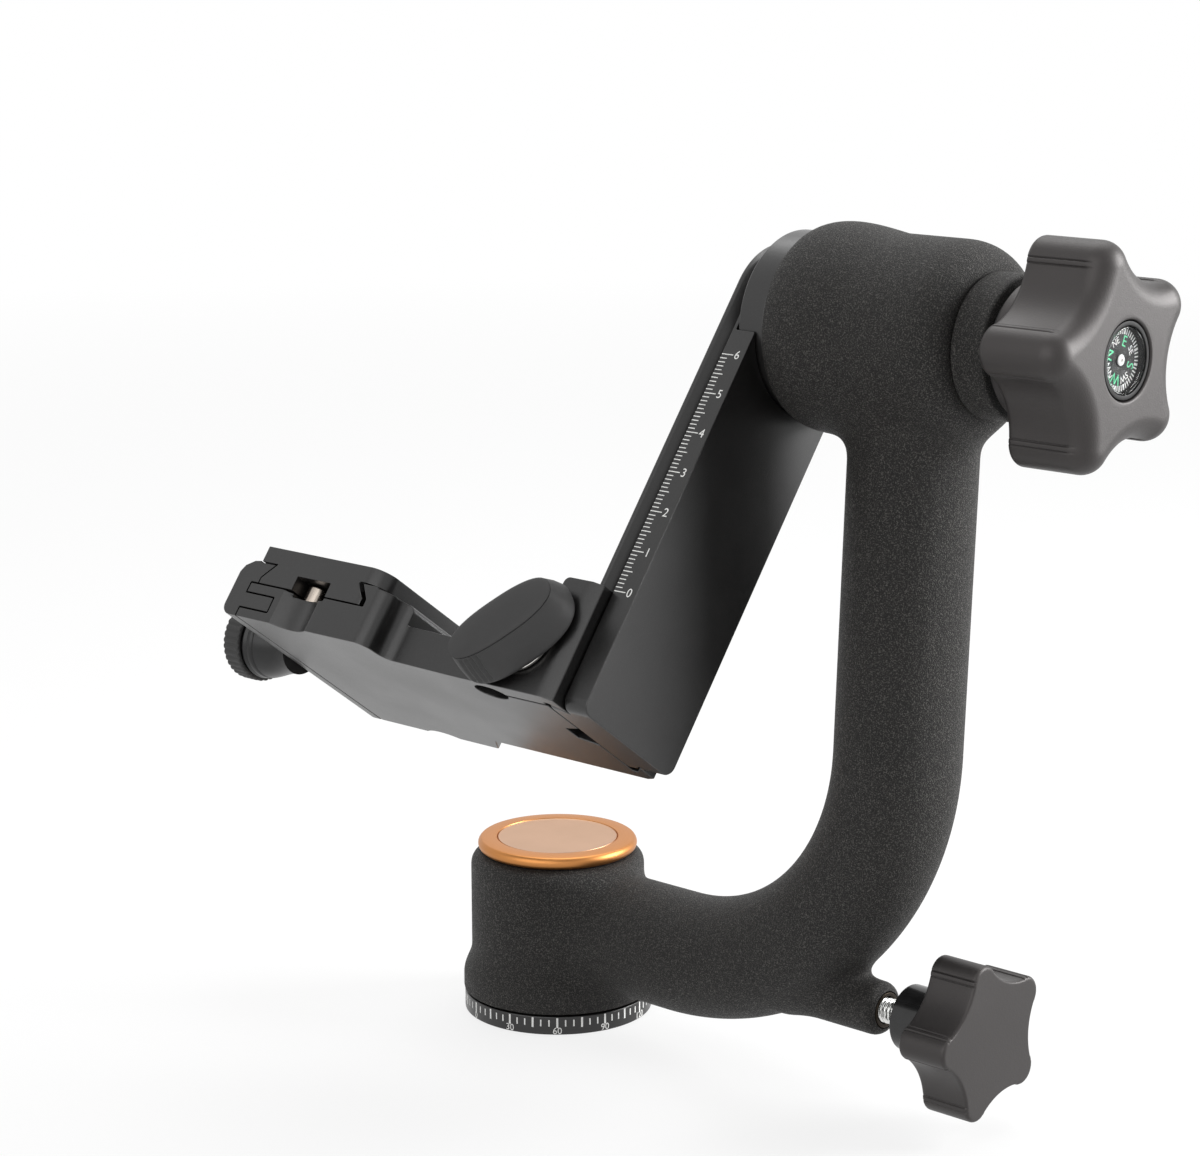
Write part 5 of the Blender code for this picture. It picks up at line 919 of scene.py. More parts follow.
def make_pan_stud():
    """The zinc-plated stud with its thread, and the bushing that it runs in."""
    rows = threaded(radius=0.0030, pitch=0.00100, depth=0.00042, start=0.0887, end=0.1197)
    rows = along_x(rows, z=RUN_HEIGHT)
    finished(skin("pan_threaded_stud", rows), ZINC, "pan_lock_knob", ["pan_stud"])
    section = ring_section(inner=0.0033, outer=0.0042, start=0.0956, end=BOSS_END, edge=0.00015)
    bushing = skin("boss_bushing", on_pan_lock(section, SMALL), ring=True)
    finished(bushing, DARK_BRONZE, "arm", ["stud_bushing"])


# The compass, in the large knob's face

CUP_FLOOR = 0.1611
CUP_WALL = 0.0010
CUP_RADIUS = 0.0084
CARD_RADIUS = CUP_RADIUS - CUP_WALL - GAP
CARD_BOTTOM = CUP_FLOOR + CUP_WALL + 0.0012
CARD_TOP = CARD_BOTTOM + 0.0005
PIN_BOTTOM = CUP_FLOOR + 0.0013


def on_card(turn, distance):
    """Lays flat points on the card, with their tops pointing out at an angle from +Y."""
    def change(points):
        up = distance + points[:, 1]
        y = up * math.cos(turn) + points[:, 0] * math.sin(turn)
        z = up * math.sin(turn) - points[:, 0] * math.cos(turn)
        return np.stack([CARD_TOP + points[:, 2], y, TILT_HEIGHT + z], axis=-1)
    return change


def make_compass_card():
    """The card with its ticks, the four green letters and the white letters between them."""
    hole = 0.0008
    section = ring_section(hole, CARD_RADIUS, CARD_BOTTOM, CARD_TOP, edge=0.0001)
    card = skin("compass_disc", on_tilt_axis(section), ring=True)
    finished(card, COMPASS, "card", ["compass_card"])
    ticks = []
    count, length, margin, bold, plain = 48, 0.0013, 0.0003, 0.00027, 0.00015
    for index in range(count):
        half = bold if index % 12 in (2, 10) else plain
        place = on_card(FULL_TURN * index / count, CARD_RADIUS - margin)
        ticks.append(printed_marks("compass_tick", (-half, -length), (half, 0), place))
    north, letter_circle, word_circle = math.radians(158), 0.0040, 0.0042
    greens, whites = [], []
    for index, letters in enumerate(("NE", "SE", "SW", "NW")):
        greens.append(("NESW"[index], on_card(north - index * QUARTER_TURN, letter_circle)))
        whites.append((letters, on_card(north - (index + 0.5) * QUARTER_TURN, word_circle)))
    words = lettering("compass_word", whites, size=0.0021)
    finished(joined(ticks + words, "compass_marks"), WHITE, "card")
    letters = lettering("compass_letter", greens, size=0.0034)
    finished(joined(letters, "compass_letters"), GREEN, "card")


def make_compass():
    """Bowl, card, pivot, button and clear cover of the compass."""
    rim, inner, middle, centre = 0.1658, CUP_RADIUS - CUP_WALL, 0.001, 0.0001
    bowl = [
        (middle, CUP_FLOOR), (CUP_RADIUS, CUP_FLOOR), (CUP_RADIUS, rim), (inner, rim),
        (inner, CUP_FLOOR + CUP_WALL), (middle, CUP_FLOOR + CUP_WALL),
    ]
    cup = skin("compass_cup", on_tilt_axis(rounded(bowl, 0.0002)))
    finished(cup, COMPASS, "tilt_lock_knob", ["compass_bowl"])
    make_compass_card()

    pin, pin_shoulder, pin_tip = 0.0005, PIN_BOTTOM + 0.0018, PIN_BOTTOM + 0.0022
    profile = [(centre, PIN_BOTTOM), (pin, PIN_BOTTOM), (pin, pin_shoulder), (centre, pin_tip)]
    pivot = skin("compass_pin", on_tilt_axis(rounded(profile, 0.0001), SMALL))
    finished(pivot, CHROME, "tilt_lock_knob", ["compass_pivot"])

    button, button_start = 0.00125, CARD_TOP + 0.0001
    profile = [(centre, button_start)] + stepped(button_start, (button, CARD_TOP + 0.0004))
    profile.append((centre, CARD_TOP + 0.0006))
    finished(skin("compass_button", on_tilt_axis(rounded(profile, 0.0002), SMALL)), WHITE, "card")

    start, middle = pin_tip + GAP, 0.0005
    end = start + 0.0008
    profile = [(middle, start), (CARD_RADIUS, start), (CARD_RADIUS, end), (middle, end)]
    window = skin("compass_window", on_tilt_axis(rounded(profile, 0.0002)))
    finished(window, COVER, "tilt_lock_knob", ["compass_glass"])


# The rail and its flange, in the swinging frame

RAIL_INNER = 0.0709
RAIL_LIP = RAIL_INNER + 0.0010
RAIL_SLAB = 0.0755
RAIL_OUTER = 0.08204
RAIL_HALF_WIDTH = 0.0177
RAIL_BOTTOM = -0.1073
UNDERCUT = 0.0040
FLANGE_START = 0.0768
SCREW_CIRCLE = 0.0122
SCREW_BORE = 0.0018
BORE_SIDES = 40


def rod_along_x(name, profile, sides=BORE_SIDES, y=0.0, z=0.0):
    """A turned solid along X in the swinging frame, before it is swung."""
    return skin(name, along_x(turned(profile, sides), y, z))


def flange_screw_places():
    """The four screws' (y, z), halfway between the quarter turns of their circle."""
    angle = FULL_TURN * (np.arange(4) + 0.5) / 4
    return np.stack([-SCREW_CIRCLE * np.sin(angle), -SCREW_CIRCLE * np.cos(angle)], axis=-1)


def make_rail():
    """The dovetail rail: a straight slab with a half circle round the tilt axis, with its undercuts,
    pocket and screw holes.
    """
    corner = 0.0030
    inner, base = RAIL_HALF_WIDTH - corner, RAIL_BOTTOM + corner
    outline = np.vstack([
        arc((-inner, base), corner, 180, 270, 8),
        arc((inner, base), corner, 270, 360, 8),
        arc((0, 0), RAIL_HALF_WIDTH, 0, 180, 96),
    ])
    rail = extrusion("dovetail_rail", outline, "X", RAIL_INNER, RAIL_OUTER)
    low, high = RAIL_BOTTOM - OVERRUN, RAIL_HALF_WIDTH + OVERRUN
    tools = []
    for side in (-1, 1):
        edge, outside, root = side * RAIL_HALF_WIDTH, side * high, side * (RAIL_HALF_WIDTH - UNDERCUT)
        notch = [(RAIL_LIP, edge), (RAIL_SLAB, root), (RAIL_SLAB, outside), (RAIL_LIP, outside)]
        tools.append(extrusion("undercut", notch, "Z", low, high))
    pocket_floor, pocket, head_bore, head_end, hole_end = 0.0765, 0.0215, 0.0030, 0.0743, 0.0790
    tools.append(rod_along_x("pocket", stepped(pocket_floor, (pocket, RAIL_OUTER + OVERRUN)), FINE))
    hole = stepped(RAIL_INNER - OVERRUN, (head_bore, head_end), (SCREW_BORE, hole_end))
    for y, z in flange_screw_places():
        tools.append(rod_along_x("screw_hole", hole, BORE_SIDES, y, z))
    combined(rail, tools, "DIFFERENCE")
    softened(rail, width=0.00035)
    moved_mesh(rail, swung)
    finished(rail, ANODISED, "swing", ["swing_rail"])


def on_rail_front(x=0.0, z=0.0):
    """Lays flat points (across, up, proud) on the rail's front edge, moved by (x, z)."""
    def change(points):
        across, up, proud = points.T
        return swung(np.stack([across + x, -RAIL_HALF_WIDTH - proud, up + z], axis=-1))
    return change


def make_ruler():
    """Millimetre marks up the rail's front edge, longer at each half and whole centimetre."""
    zero, half_width, start, numbers = -0.0787, 0.00011, RAIL_SLAB + 0.0002, RAIL_SLAB + 0.0046
    whole, half, plain, millimetre = 0.0033, 0.0027, 0.0019, 0.001
    step = np.arange(61)
    height = zero + millimetre * step
    end = start + np.where(step % 10 == 0, whole, np.where(step % 5 == 0, half, plain))
    low, high = (start, height - half_width), (end, height + half_width)
    marks = printed_marks("ruler_marks", low, high, on_rail_front())
    words = [(str(value), on_rail_front(numbers, zero + 10 * millimetre * value)) for value in range(7)]
    parts = [marks] + lettering("ruler_number", words, size=0.0030)
    finished(joined(parts, "ruler_marks"), WHITE, "swing")


def hexagon_row(across, height, sides):
    """A hexagon with one point for each side of a turned piece, at the same angles."""
    angle = FULL_TURN * np.arange(sides) / sides
    sixth = FULL_TURN / 6
    reach = across / 2 / np.cos((angle % sixth) - sixth / 2)
    return np.stack([reach * np.cos(angle), reach * np.sin(angle), np.full(sides, height)], axis=-1)


def socket_screw_rows():
    """A socket screw along +Z: rounded head with a hexagon recess, and its shank."""
    head, head_height, shank, length, key, start = 0.0027, 0.0028, 0.0015, 0.0101, 0.0025, 0.0712
    well, end, point = start + 0.55 * head_height, start + head_height, 0.0003
    recess = [
        (key * 0.3, well + 0.0001), (key, well), (key, start + 0.00015), (key + 0.0002, start),
    ]
    rows = [hexagon_row(across, height, SMALL) for across, height in recess]
    top = rounded([(key * 0.5, start), (head, start), (head, end)], 0.0003)[1:-1]
    rows += list(turned(np.vstack([[(key * 0.66, start)], top]), SMALL))
    tip = start + length
    rows += list(turned([(head, end), (shank, end), (shank, tip - point), (shank - point, tip)], SMALL))
    return np.array(rows)


def make_flange():
    """The flange on the axle behind the rail, and the four screws that hold the rail on it."""
    radius, end, spigot, spigot_end, bore = 0.0212, 0.0840, 0.0100, 0.0887, 0.0073
    floor, bolt_hole, recess = 0.0791, 0.0033, 0.0056
    profile = rounded([
        (recess, 0.0772), (recess, FLANGE_START), (radius, FLANGE_START), (radius, end), (spigot, end),
        (spigot, spigot_end), (bore, spigot_end), (bore, floor), (bolt_hole, floor), (bolt_hole, 0.0789),
    ], 0.0005)
    flange = skin("round_flange", along_x(turned(profile, FINE)), ring=True)
    hole = stepped(FLANGE_START - OVERRUN, (SCREW_BORE, 0.0816))
    tools = [rod_along_x("screw_hole", hole, BORE_SIDES, y, z) for y, z in flange_screw_places()]
    combined(flange, tools, "DIFFERENCE")
    moved_mesh(flange, swung)
    finished(flange, ANODISED, "swing", ["tilt_flange"])
    for index, (y, z) in enumerate(flange_screw_places(), 1):
        screw = skin(f"rail_screw_{index}", swung(along_x(socket_screw_rows(), y, z)))
        finished(screw, BLACK_STEEL, "swing", [f"flange_screw_{index}"])


# The platform and the clamp, in the swinging frame

PLATFORM_BOTTOM = -0.1073
CHANNEL_FLOOR = RAIL_INNER - GAP
SLIDER_HALF_WIDTH = 0.0218
SLIDER_TOP = -0.0790
BLOCK_START = 0.0470
CLAMP_START = -0.0192
CLAMP_FRONT = -0.0302
CLAMP_BACK = 0.0274
BED_TOP = -0.0986
PLATE_CENTRE = 0.0008
PLATE_HALF_WIDTH = 0.0198
PLATE_TOP = -0.0889
FLANGE_BOTTOM = -0.0929
SLOPE_BOTTOM = -0.0969
PLATE_BOTTOM = -0.0983
NECK_HALF = 0.0142
FOOT_HALF = 0.0176
TONGUE_TOP = -0.1012
TONGUE_BOTTOM = -0.1048
TONGUE_END = -0.0099
HOOK_TOP = FLANGE_BOTTOM - GAP
JAW_THICKNESS = 0.0054
CLAMP_EDGE = 0.00025
CLAMP_Y = -0.0015
CLAMP_Z = -0.1030
CLAMP_BORE = 0.0028
PIN_X = -0.0025
PIN_Y = -0.0246
NOTCH_LEFT = -0.0055
NOTCH_RIGHT = 0.0057
WING_X = 0.0607
WING_Z = -0.0950
WING_BORE = 0.0028


def seat_corners(bed):
    """One side of the dovetail seat, a gap off the plate's slope, as (half width, height)."""
    lean = (FOOT_HALF - NECK_HALF) / (FLANGE_BOTTOM - SLOPE_BOTTOM)
    away = GAP * math.hypot(1, lean)
    foot = FOOT_HALF + GAP
    drop = (foot - NECK_HALF - away) / lean
    return [(NECK_HALF + lean * GAP + away, HOOK_TOP), (foot, FLANGE_BOTTOM - drop), (foot, bed)]


def platform_side():
    """The platform seen along Y: clamp bed, fixed jaw, leg and slider block."""
    right = PLATE_CENTRE + PLATE_HALF_WIDTH
    leg_top, small, large = -0.0984, 0.0015, 0.0060
    end = CHANNEL_FLOOR
    outline = [(CLAMP_START, PLATFORM_BOTTOM), (end, PLATFORM_BOTTOM), (end, SLIDER_TOP)]
    outline += arc((0.0660, SLIDER_TOP - small), small, 90, 180, 6).tolist()
    outline.append((0.0645, -0.0845))
    outline += arc((0.0530, -0.0905), large, 90, 180, 12).tolist()
    outline += [(BLOCK_START, leg_top), (0.0270, leg_top)]
    outline += arc((0.0255, -0.0952), small, 0, 90, 6).tolist()
    outline += [(right + GAP, -0.0937), (right - GAP, HOOK_TOP)]
    outline += [(PLATE_CENTRE + half, height) for half, height in seat_corners(BED_TOP)]
    slot_end, slot_top, slot_bottom = TONGUE_END + GAP, TONGUE_TOP + GAP, TONGUE_BOTTOM - GAP
    outline += [(CLAMP_START, BED_TOP), (CLAMP_START, slot_top), (slot_end, slot_top)]
    return outline + [(slot_end, slot_bottom), (CLAMP_START, slot_bottom)]


def platform_plan():
    """The platform from above: two quarter ellipses make the step between clamp and leg."""
    shoulder_x, neck_x, leg_y = 0.0205, 0.0280, -0.0228
    step, drop = (neck_x - shoulder_x) / 2, (leg_y - CLAMP_FRONT) / 2
    out = arc((0, 0), 1, -90, 0, 10) * (step, drop) + (shoulder_x, CLAMP_FRONT + drop)
    back = arc((0, 0), 1, 180, 90, 10) * (step, drop) + (neck_x, leg_y - drop)
    end = CHANNEL_FLOOR + OVERRUN
    corners = [
        (BLOCK_START, -SLIDER_HALF_WIDTH), (end, -SLIDER_HALF_WIDTH), (end, SLIDER_HALF_WIDTH),
        (shoulder_x + step, SLIDER_HALF_WIDTH), (shoulder_x + GAP, CLAMP_BACK), (CLAMP_START, CLAMP_BACK),
    ]
    return np.vstack([[(CLAMP_START, CLAMP_FRONT)], out, back[1:], corners])


def hook_outline(side):
    """One jaw of the slider seen along Z: an arm beside the rail and a lip in its undercut."""
    slope = RAIL_SLAB - RAIL_LIP
    gap_across = GAP * math.hypot(slope, UNDERCUT) / slope
    beside = RAIL_HALF_WIDTH + GAP
    lip_end = RAIL_SLAB - GAP
    tip = RAIL_HALF_WIDTH - UNDERCUT * (lip_end - RAIL_LIP) / slope + gap_across
    root = RAIL_LIP + slope * (gap_across - GAP) / UNDERCUT
    points = [
        (CHANNEL_FLOOR - OVERRUN, SLIDER_HALF_WIDTH), (lip_end - 0.0026, SLIDER_HALF_WIDTH),
        (lip_end, SLIDER_HALF_WIDTH - 0.0013), (lip_end, tip), (root, beside),
        (CHANNEL_FLOOR, beside), (CHANNEL_FLOOR - OVERRUN, beside),
    ]
    return [(x, side * y) for x, y in points]


def upright_rod(name, x, y, profile, sides=BORE_SIDES):
    """A turned solid along Z in the swinging frame."""
    return skin(name, turned(profile, sides) + (x, y, 0))


def clamp_hole():
    """The rod that cuts the clamp screw's hole."""
    start, end = -0.0290, 0.0083
    return rod_along_x("clamp_hole", stepped(start, (CLAMP_BORE, end)), BORE_SIDES, CLAMP_Y, CLAMP_Z)


def wing_hole(start, end):
    """The rod that cuts the wing screw's hole."""
    rows = turned(stepped(start, (WING_BORE, end)), BORE_SIDES)
    return skin("wing_hole", along_front(rows, WING_X, WING_Z))


def platform_cuts():
    """The slit, its relief, the channel's groove, the scoops and the holes of the platform."""
    low, high = PLATFORM_BOTTOM - OVERRUN, SLIDER_TOP + OVERRUN
    above_bed, outside = BED_TOP + OVERRUN, CHANNEL_FLOOR + OVERRUN
    slit_back, scoop, relief_size = -SLIDER_HALF_WIDTH + 0.0056, 0.0100, (0.0046, 0.0031)
    relief_centre = (BLOCK_START + relief_size[0] + OVERRUN, slit_back - GAP)
    oval = arc((0, 0), 1, 0, 360, 40)[:-1] * relief_size + relief_centre
    wide, narrow, groove_floor = 0.0050, 0.0025, CHANNEL_FLOOR - 0.0050
    groove = [(outside, -wide), (outside, wide), (groove_floor, narrow), (groove_floor, -narrow)]
    pocket = stepped(TONGUE_END, (0.0038, -0.0033))
    pin_low, pin_high = (NOTCH_LEFT, CLAMP_FRONT - OVERRUN, -0.0994), (NOTCH_RIGHT, PIN_Y, above_bed)
    return [
        block("slit", (relief_centre[0], slit_back - 0.0006, low), (outside, slit_back, high)),
        extrusion("relief", oval, "Z", low, high),
        extrusion("groove", groove, "Z", low, high),
        upright_rod("front_scoop", -0.0015, CLAMP_FRONT - 0.0079, stepped(low, (scoop, high)), FINE),
        upright_rod("back_scoop", 0.0025, CLAMP_BACK + 0.0083, stepped(low, (scoop, high)), FINE),
        wing_hole(start=0.0075, end=0.0240),
        clamp_hole(),
        rod_along_x("spring_pocket", pocket, BORE_SIDES, CLAMP_Y, CLAMP_Z),
        upright_rod("pin_hole", PIN_X, PIN_Y, stepped(-0.1061, (0.0030, above_bed))),
        block("pin_pocket", pin_low, pin_high),
    ]


def make_platform():
    """The L-shaped platform, with the slider's jaws at one end and the clamp at the other."""
    front, back = CLAMP_FRONT - OVERRUN, CLAMP_BACK + OVERRUN
    platform = extrusion("slide_platform", platform_side(), "Y", front, back)
    plan = extrusion("plan", platform_plan(), "Z", PLATFORM_BOTTOM - OVERRUN, SLIDER_TOP + OVERRUN)
    combined(platform, [plan], "INTERSECT")
    hooks = [extrusion("hook", hook_outline(side), "Z", PLATFORM_BOTTOM, SLIDER_TOP) for side in (-1, 1)]
    combined(platform, hooks, "UNION")
    combined(platform, platform_cuts(), "DIFFERENCE")
    softened(platform, CLAMP_EDGE)
    moved_mesh(platform, swung)
    finished(platform, ANODISED, "slider", ["platform"])


def jaw_side():
    """The movable jaw seen along Y: outer face, hook under the plate and guiding tongue."""
    inner, outer, top, foot_round = CLAMP_START - GAP, CLAMP_START - JAW_THICKNESS, -0.0928, 0.0026
    left, bed = PLATE_CENTRE - PLATE_HALF_WIDTH - GAP, BED_TOP + GAP
    outline = [(inner, PLATFORM_BOTTOM)]
    outline += arc((outer + foot_round, PLATFORM_BOTTOM + foot_round), foot_round, 270, 180, 8).tolist()
    outline += [
        (outer, top - 0.0036), (outer + 0.0009, top - 0.0018), (inner - 0.0018, top - GAP),
        (left, top), (left, HOOK_TOP),
    ]
    outline += [(PLATE_CENTRE - half, height) for half, height in seat_corners(bed)]
    outline += [(inner, bed), (inner, TONGUE_TOP), (TONGUE_END, TONGUE_TOP)]
    return outline + [(TONGUE_END, TONGUE_BOTTOM), (inner, TONGUE_BOTTOM)]


def make_jaw():
    """The clamp's movable jaw."""
    jaw = extrusion("moving_jaw", jaw_side(), "Y", CLAMP_FRONT, CLAMP_BACK)
    combined(jaw, [clamp_hole()], "DIFFERENCE")
    softened(jaw, CLAMP_EDGE)
    moved_mesh(jaw, swung)
    finished(jaw, ANODISED, "jaw", ["clamp_jaw"])


# The quick-release plate, in the swinging frame

PLATE_BACK = 0.0272
PLATE_MIDDLE = (CLAMP_FRONT + PLATE_BACK) / 2
PAD_FLOOR = PLATE_TOP - 0.0008
BOLT_HEAD = 0.0026
HEAD_TOP = PLATE_BOTTOM + GAP + BOLT_HEAD


def plate_body():
    """The plate's dovetail section, with a slack foot on its right, cut to its rounded plan."""
    slack, corner = 0.0013, 0.0050
    foot = [(FOOT_HALF, PLATE_BOTTOM), (FOOT_HALF, SLOPE_BOTTOM), (NECK_HALF, FLANGE_BOTTOM)]
    top = [(PLATE_HALF_WIDTH, FLANGE_BOTTOM), (PLATE_HALF_WIDTH, PLATE_TOP)]
    side = [(PLATE_CENTRE + x - slack, z) for x, z in foot] + [(PLATE_CENTRE + x, z) for x, z in top]
    side += [(PLATE_CENTRE - x, z) for x, z in reversed(foot + top)]
    plate = extrusion("release_plate", side, "Y", CLAMP_FRONT - OVERRUN, PLATE_BACK + OVERRUN)
    left = PLATE_CENTRE - PLATE_HALF_WIDTH - OVERRUN
    right = PLATE_CENTRE + PLATE_HALF_WIDTH - corner
    plan = np.vstack([
        [(left, PLATE_BACK), (left, CLAMP_FRONT)],
        arc((right, CLAMP_FRONT + corner), corner, 270, 360, 12),
        arc((right, PLATE_BACK - corner), corner, 0, 90, 12),
    ])
    keep = extrusion("plan", plan, "Z", PLATE_BOTTOM - OVERRUN, PLATE_TOP + OVERRUN)
    combined(plate, [keep], "INTERSECT")
    return plate


def make_plate():
    """The quick-release plate with its notch, pad pockets and screw hole."""
    plate = plate_body()
    notch_low = (NOTCH_LEFT, CLAMP_FRONT - OVERRUN, PLATE_BOTTOM - OVERRUN)
    cuts = [block("pin_notch", notch_low, (NOTCH_RIGHT, PIN_Y + 0.0030, -0.0948))]
    pad_distance, half_width, half_length = 0.0170, 0.0168, 0.0098
    for name, side in (("front", -1), ("back", 1)):
        centre = PLATE_MIDDLE + pad_distance * side
        low = (PLATE_CENTRE - half_width, centre - half_length, PAD_FLOOR - GAP)
        high = (PLATE_CENTRE + half_width, centre + half_length, PLATE_TOP + OVERRUN)
        cuts.append(block("pad_pocket", low, high))
        make_pad(name, centre)
    head, bore = 0.0071, 0.0034
    hole = stepped(PLATE_BOTTOM - OVERRUN, (head, HEAD_TOP + GAP), (bore, PLATE_TOP + OVERRUN))
    cuts.append(upright_rod("screw_hole", PLATE_CENTRE, PLATE_MIDDLE, hole, MEDIUM))
    combined(plate, cuts, "DIFFERENCE")
    softened(plate, width=0.0002)
    moved_mesh(plate, swung)
    finished(plate, ANODISED, "plate", ["quick_release_plate"])


def make_plate_screw():
    """The plate's screw: a flat head with a round recess, and a quarter-inch thread."""
    thread, head, recess = 0.0031, 0.0068, 0.0022
    bottom, recess_top = HEAD_TOP - BOLT_HEAD, HEAD_TOP - 0.0016
    profile = rounded([
        (0.0008, recess_top), (recess, recess_top), (recess, bottom),
        (head, bottom), (head, HEAD_TOP), (thread, HEAD_TOP),
    ], 0.0003)[1:]
    end = PLATE_TOP + 0.0046
    shank = threaded(thread, pitch=0.00127, depth=0.00055, start=HEAD_TOP, end=end, sides=SMALL)
    rows = np.vstack([turned(profile, SMALL), shank]) + (PLATE_CENTRE, PLATE_MIDDLE, 0)
    finished(skin("plate_bolt", swung(rows)), STEEL, "screw", ["plate_screw"])


def make_pad(name, centre):
    """A rubber pad whose top is a row of fine rounded ribs, a raised cosine across its length."""
    half_length, half_width, height, rib, pitch = 0.0095, 0.0165, 0.0012, 0.00016, 0.0019
    low, high = centre - half_length, centre + half_length
    across = np.linspace(low, high, 241)
    ribs = PAD_FLOOR + height - rib * (1 + np.cos(FULL_TURN * (across - low) / pitch))
    outline = np.vstack([[(low, PAD_FLOOR), (high, PAD_FLOOR)], np.stack([across, ribs], axis=-1)[::-1]])
    left, right = PLATE_CENTRE - half_width, PLATE_CENTRE + half_width
    pad = extrusion(f"ribbed_{name}_pad", outline, "X", left, right)
    moved_mesh(pad, swung)
    finished(pad, RUBBER, "plate", [f"{name}_pad"])


# The clamp's knob and pin, and the wing knob, in the swinging frame

GRIP_INNER = 0.0085
KNOB_END = CLAMP_START - JAW_THICKNESS - GAP
KNOB_START = KNOB_END - 0.0186
GRIP_START = KNOB_START + 0.0010
GRIP_END = KNOB_START + 0.0062


def make_clamp_knob():
    """The clamp knob's plastic body, which narrows to its neck past two fine grooves."""
    body, neck, edge, face_ring = 0.0090, 0.0062, 0.0006, 0.0056
    waist_start, inside = GRIP_END + GAP, GRIP_INNER - GAP
    share = np.linspace(0, 1, 18)
    waist = body - (body - neck) * (1 - np.cos(math.pi * share)) / 2
    curve = np.stack([waist, waist_start + (KNOB_END - waist_start) * share], axis=-1)
    for line in (0.0016, 0.0032):
        radius, height = curve[:, 0], curve[:, 1]
        place = waist_start + line
        groove = [(np.interp(place, height, radius) - 0.00025, place)]
        curve = np.vstack([curve[height < place - 0.0002], groove, curve[height > place + 0.0002]])
    dish = KNOB_START + 0.0003
    face = rounded([
        (0.0003, dish), (face_ring, dish), (face_ring + edge, KNOB_START),
        (GRIP_INNER - edge, KNOB_START), (inside, KNOB_START + edge),
    ], 0.0003)
    shoulder = [(inside, waist_start - 0.0002), (body - 0.0004, waist_start)]
    bore_end = KNOB_START + 0.0093 - GAP
    tail = [(CLAMP_BORE, KNOB_END), (CLAMP_BORE, bore_end), (0.0003, bore_end)]
    profile = np.vstack([face, shoulder, curve[1:], tail])
    knob = skin("clamp_thumb_knob", swung(along_x(turned(profile, MEDIUM), CLAMP_Y, CLAMP_Z)))
    finished(knob, SATIN, "clamp_lock_knob", ["clamp_knob"])


def make_clamp_grip():
    """The clamp knob's rubber rim, with flutes that are a squared raised cosine of the angle."""
    flutes, depth, outer = 38, 0.00028, 0.0099
    sides = flutes * 10
    section = ring_section(GRIP_INNER, outer, GRIP_START, GRIP_END, edge=0.0005)
    rows = turned(section, sides)
    wave = depth * (0.5 + 0.5 * np.cos(flutes * FULL_TURN * np.arange(sides) / sides)) ** 2
    outer_share = np.clip((section[:, 0] - GRIP_INNER - 0.0004) / 0.0008, 0, 1)[:, None]
    rows[..., :2] *= (1 - outer_share * wave[None] / section[:, :1])[..., None]
    grip = skin("fluted_grip", swung(along_x(rows, CLAMP_Y, CLAMP_Z)), ring=True)
    finished(grip, RUBBER, "clamp_lock_knob", ["clamp_knob_grip"], math.radians(60))


def make_safety_pin():
    """The sprung pin at the clamp's front: a chromed cup with a soft rim."""
    radius, inner, centre, top, bottom, wall = 0.0027, 0.0020, 0.0002, -0.0952, -0.1018, 0.0008
    outline = [
        (centre, top), (radius, top), (radius, bottom),
        (inner, bottom), (inner, top - wall), (centre, top - wall),
    ]
    rows = turned(rounded(outline, 0.0004), MEDIUM) + (PIN_X, PIN_Y, 0)
    # Chrome painted darker and browner: painted shade for the dim surroundings that the pin reflects.
    finished(skin("stop_pin", swung(rows)), SHADED_CHROME, "pin", ["safety_pin"])


def wing_rows(start, height):
    """Rings of the wing knob: an oval pressed towards its box, whose flanks lean in to a crease.

    Its length and width follow shares of the level up to the crease. Above it the top is a low
    dome, whose height grows with the square root of what is left of its width. Four grooves run
    down one end of each flank, a raised cosine of the length.
    """
    half_length, half_width, turn, crease = 0.0150, 0.0091, math.radians(46), 0.90
    crease_length, crease_width, squareness = 0.915, 0.60, 0.8
    level = np.concatenate([[0, 0.012, 0.035, 0.07], np.linspace(0.12, crease - 0.03, 24)])
    stations = (0, 0.035, 0.10, 0.45, crease)
    length = np.interp(level, stations, (0.93, 0.985, 1.0, 0.975, crease_length))
    width = np.interp(level, stations, (0.94, 0.985, 1.0, 0.86, crease_width))
    shrink = np.concatenate([[0.955, 0.957, 1.0, 1.0, 0.985], np.linspace(0.94, 0.02, 16)])
    dome = crease + (0.995 - crease) * np.sqrt(1 - shrink ** 2)
    dome[:5] = crease + np.array([-0.026, -0.018, -0.010, 0.002, 0.014])
    level = np.concatenate([level, np.maximum.accumulate(dome)])
    width = np.concatenate([width, crease_width * shrink])
    length = np.concatenate([length, crease_length * shrink])
    angle = FULL_TURN * np.arange(360) / 360
    cosine, sine = np.cos(angle), np.sin(angle)
    along = np.sign(cosine) * np.abs(cosine) ** squareness
    across = np.sign(sine) * np.abs(sine) ** squareness
    first, pitch, count, depth = 0.56, 0.088, 4, 0.00045
    place = (along * np.sign(across) - first) / pitch
    ribs = np.where((place > 0) & (place < count), 0.5 - 0.5 * np.cos(FULL_TURN * place), 0)
    flank = np.clip((level - 0.10) / 0.05, 0, 1) * np.clip((crease - 0.04 - level) / 0.04, 0, 1)
    sunk = depth * flank[:, None] * ribs
    x = half_length * length[:, None] * along - sunk * cosine
    y = half_width * width[:, None] * across - sunk * sine
    heights = start + height * level[:, None] + 0 * x
    turned_x = x * math.cos(turn) - y * math.sin(turn)
    return np.stack([turned_x, x * math.sin(turn) + y * math.cos(turn), heights], axis=-1)


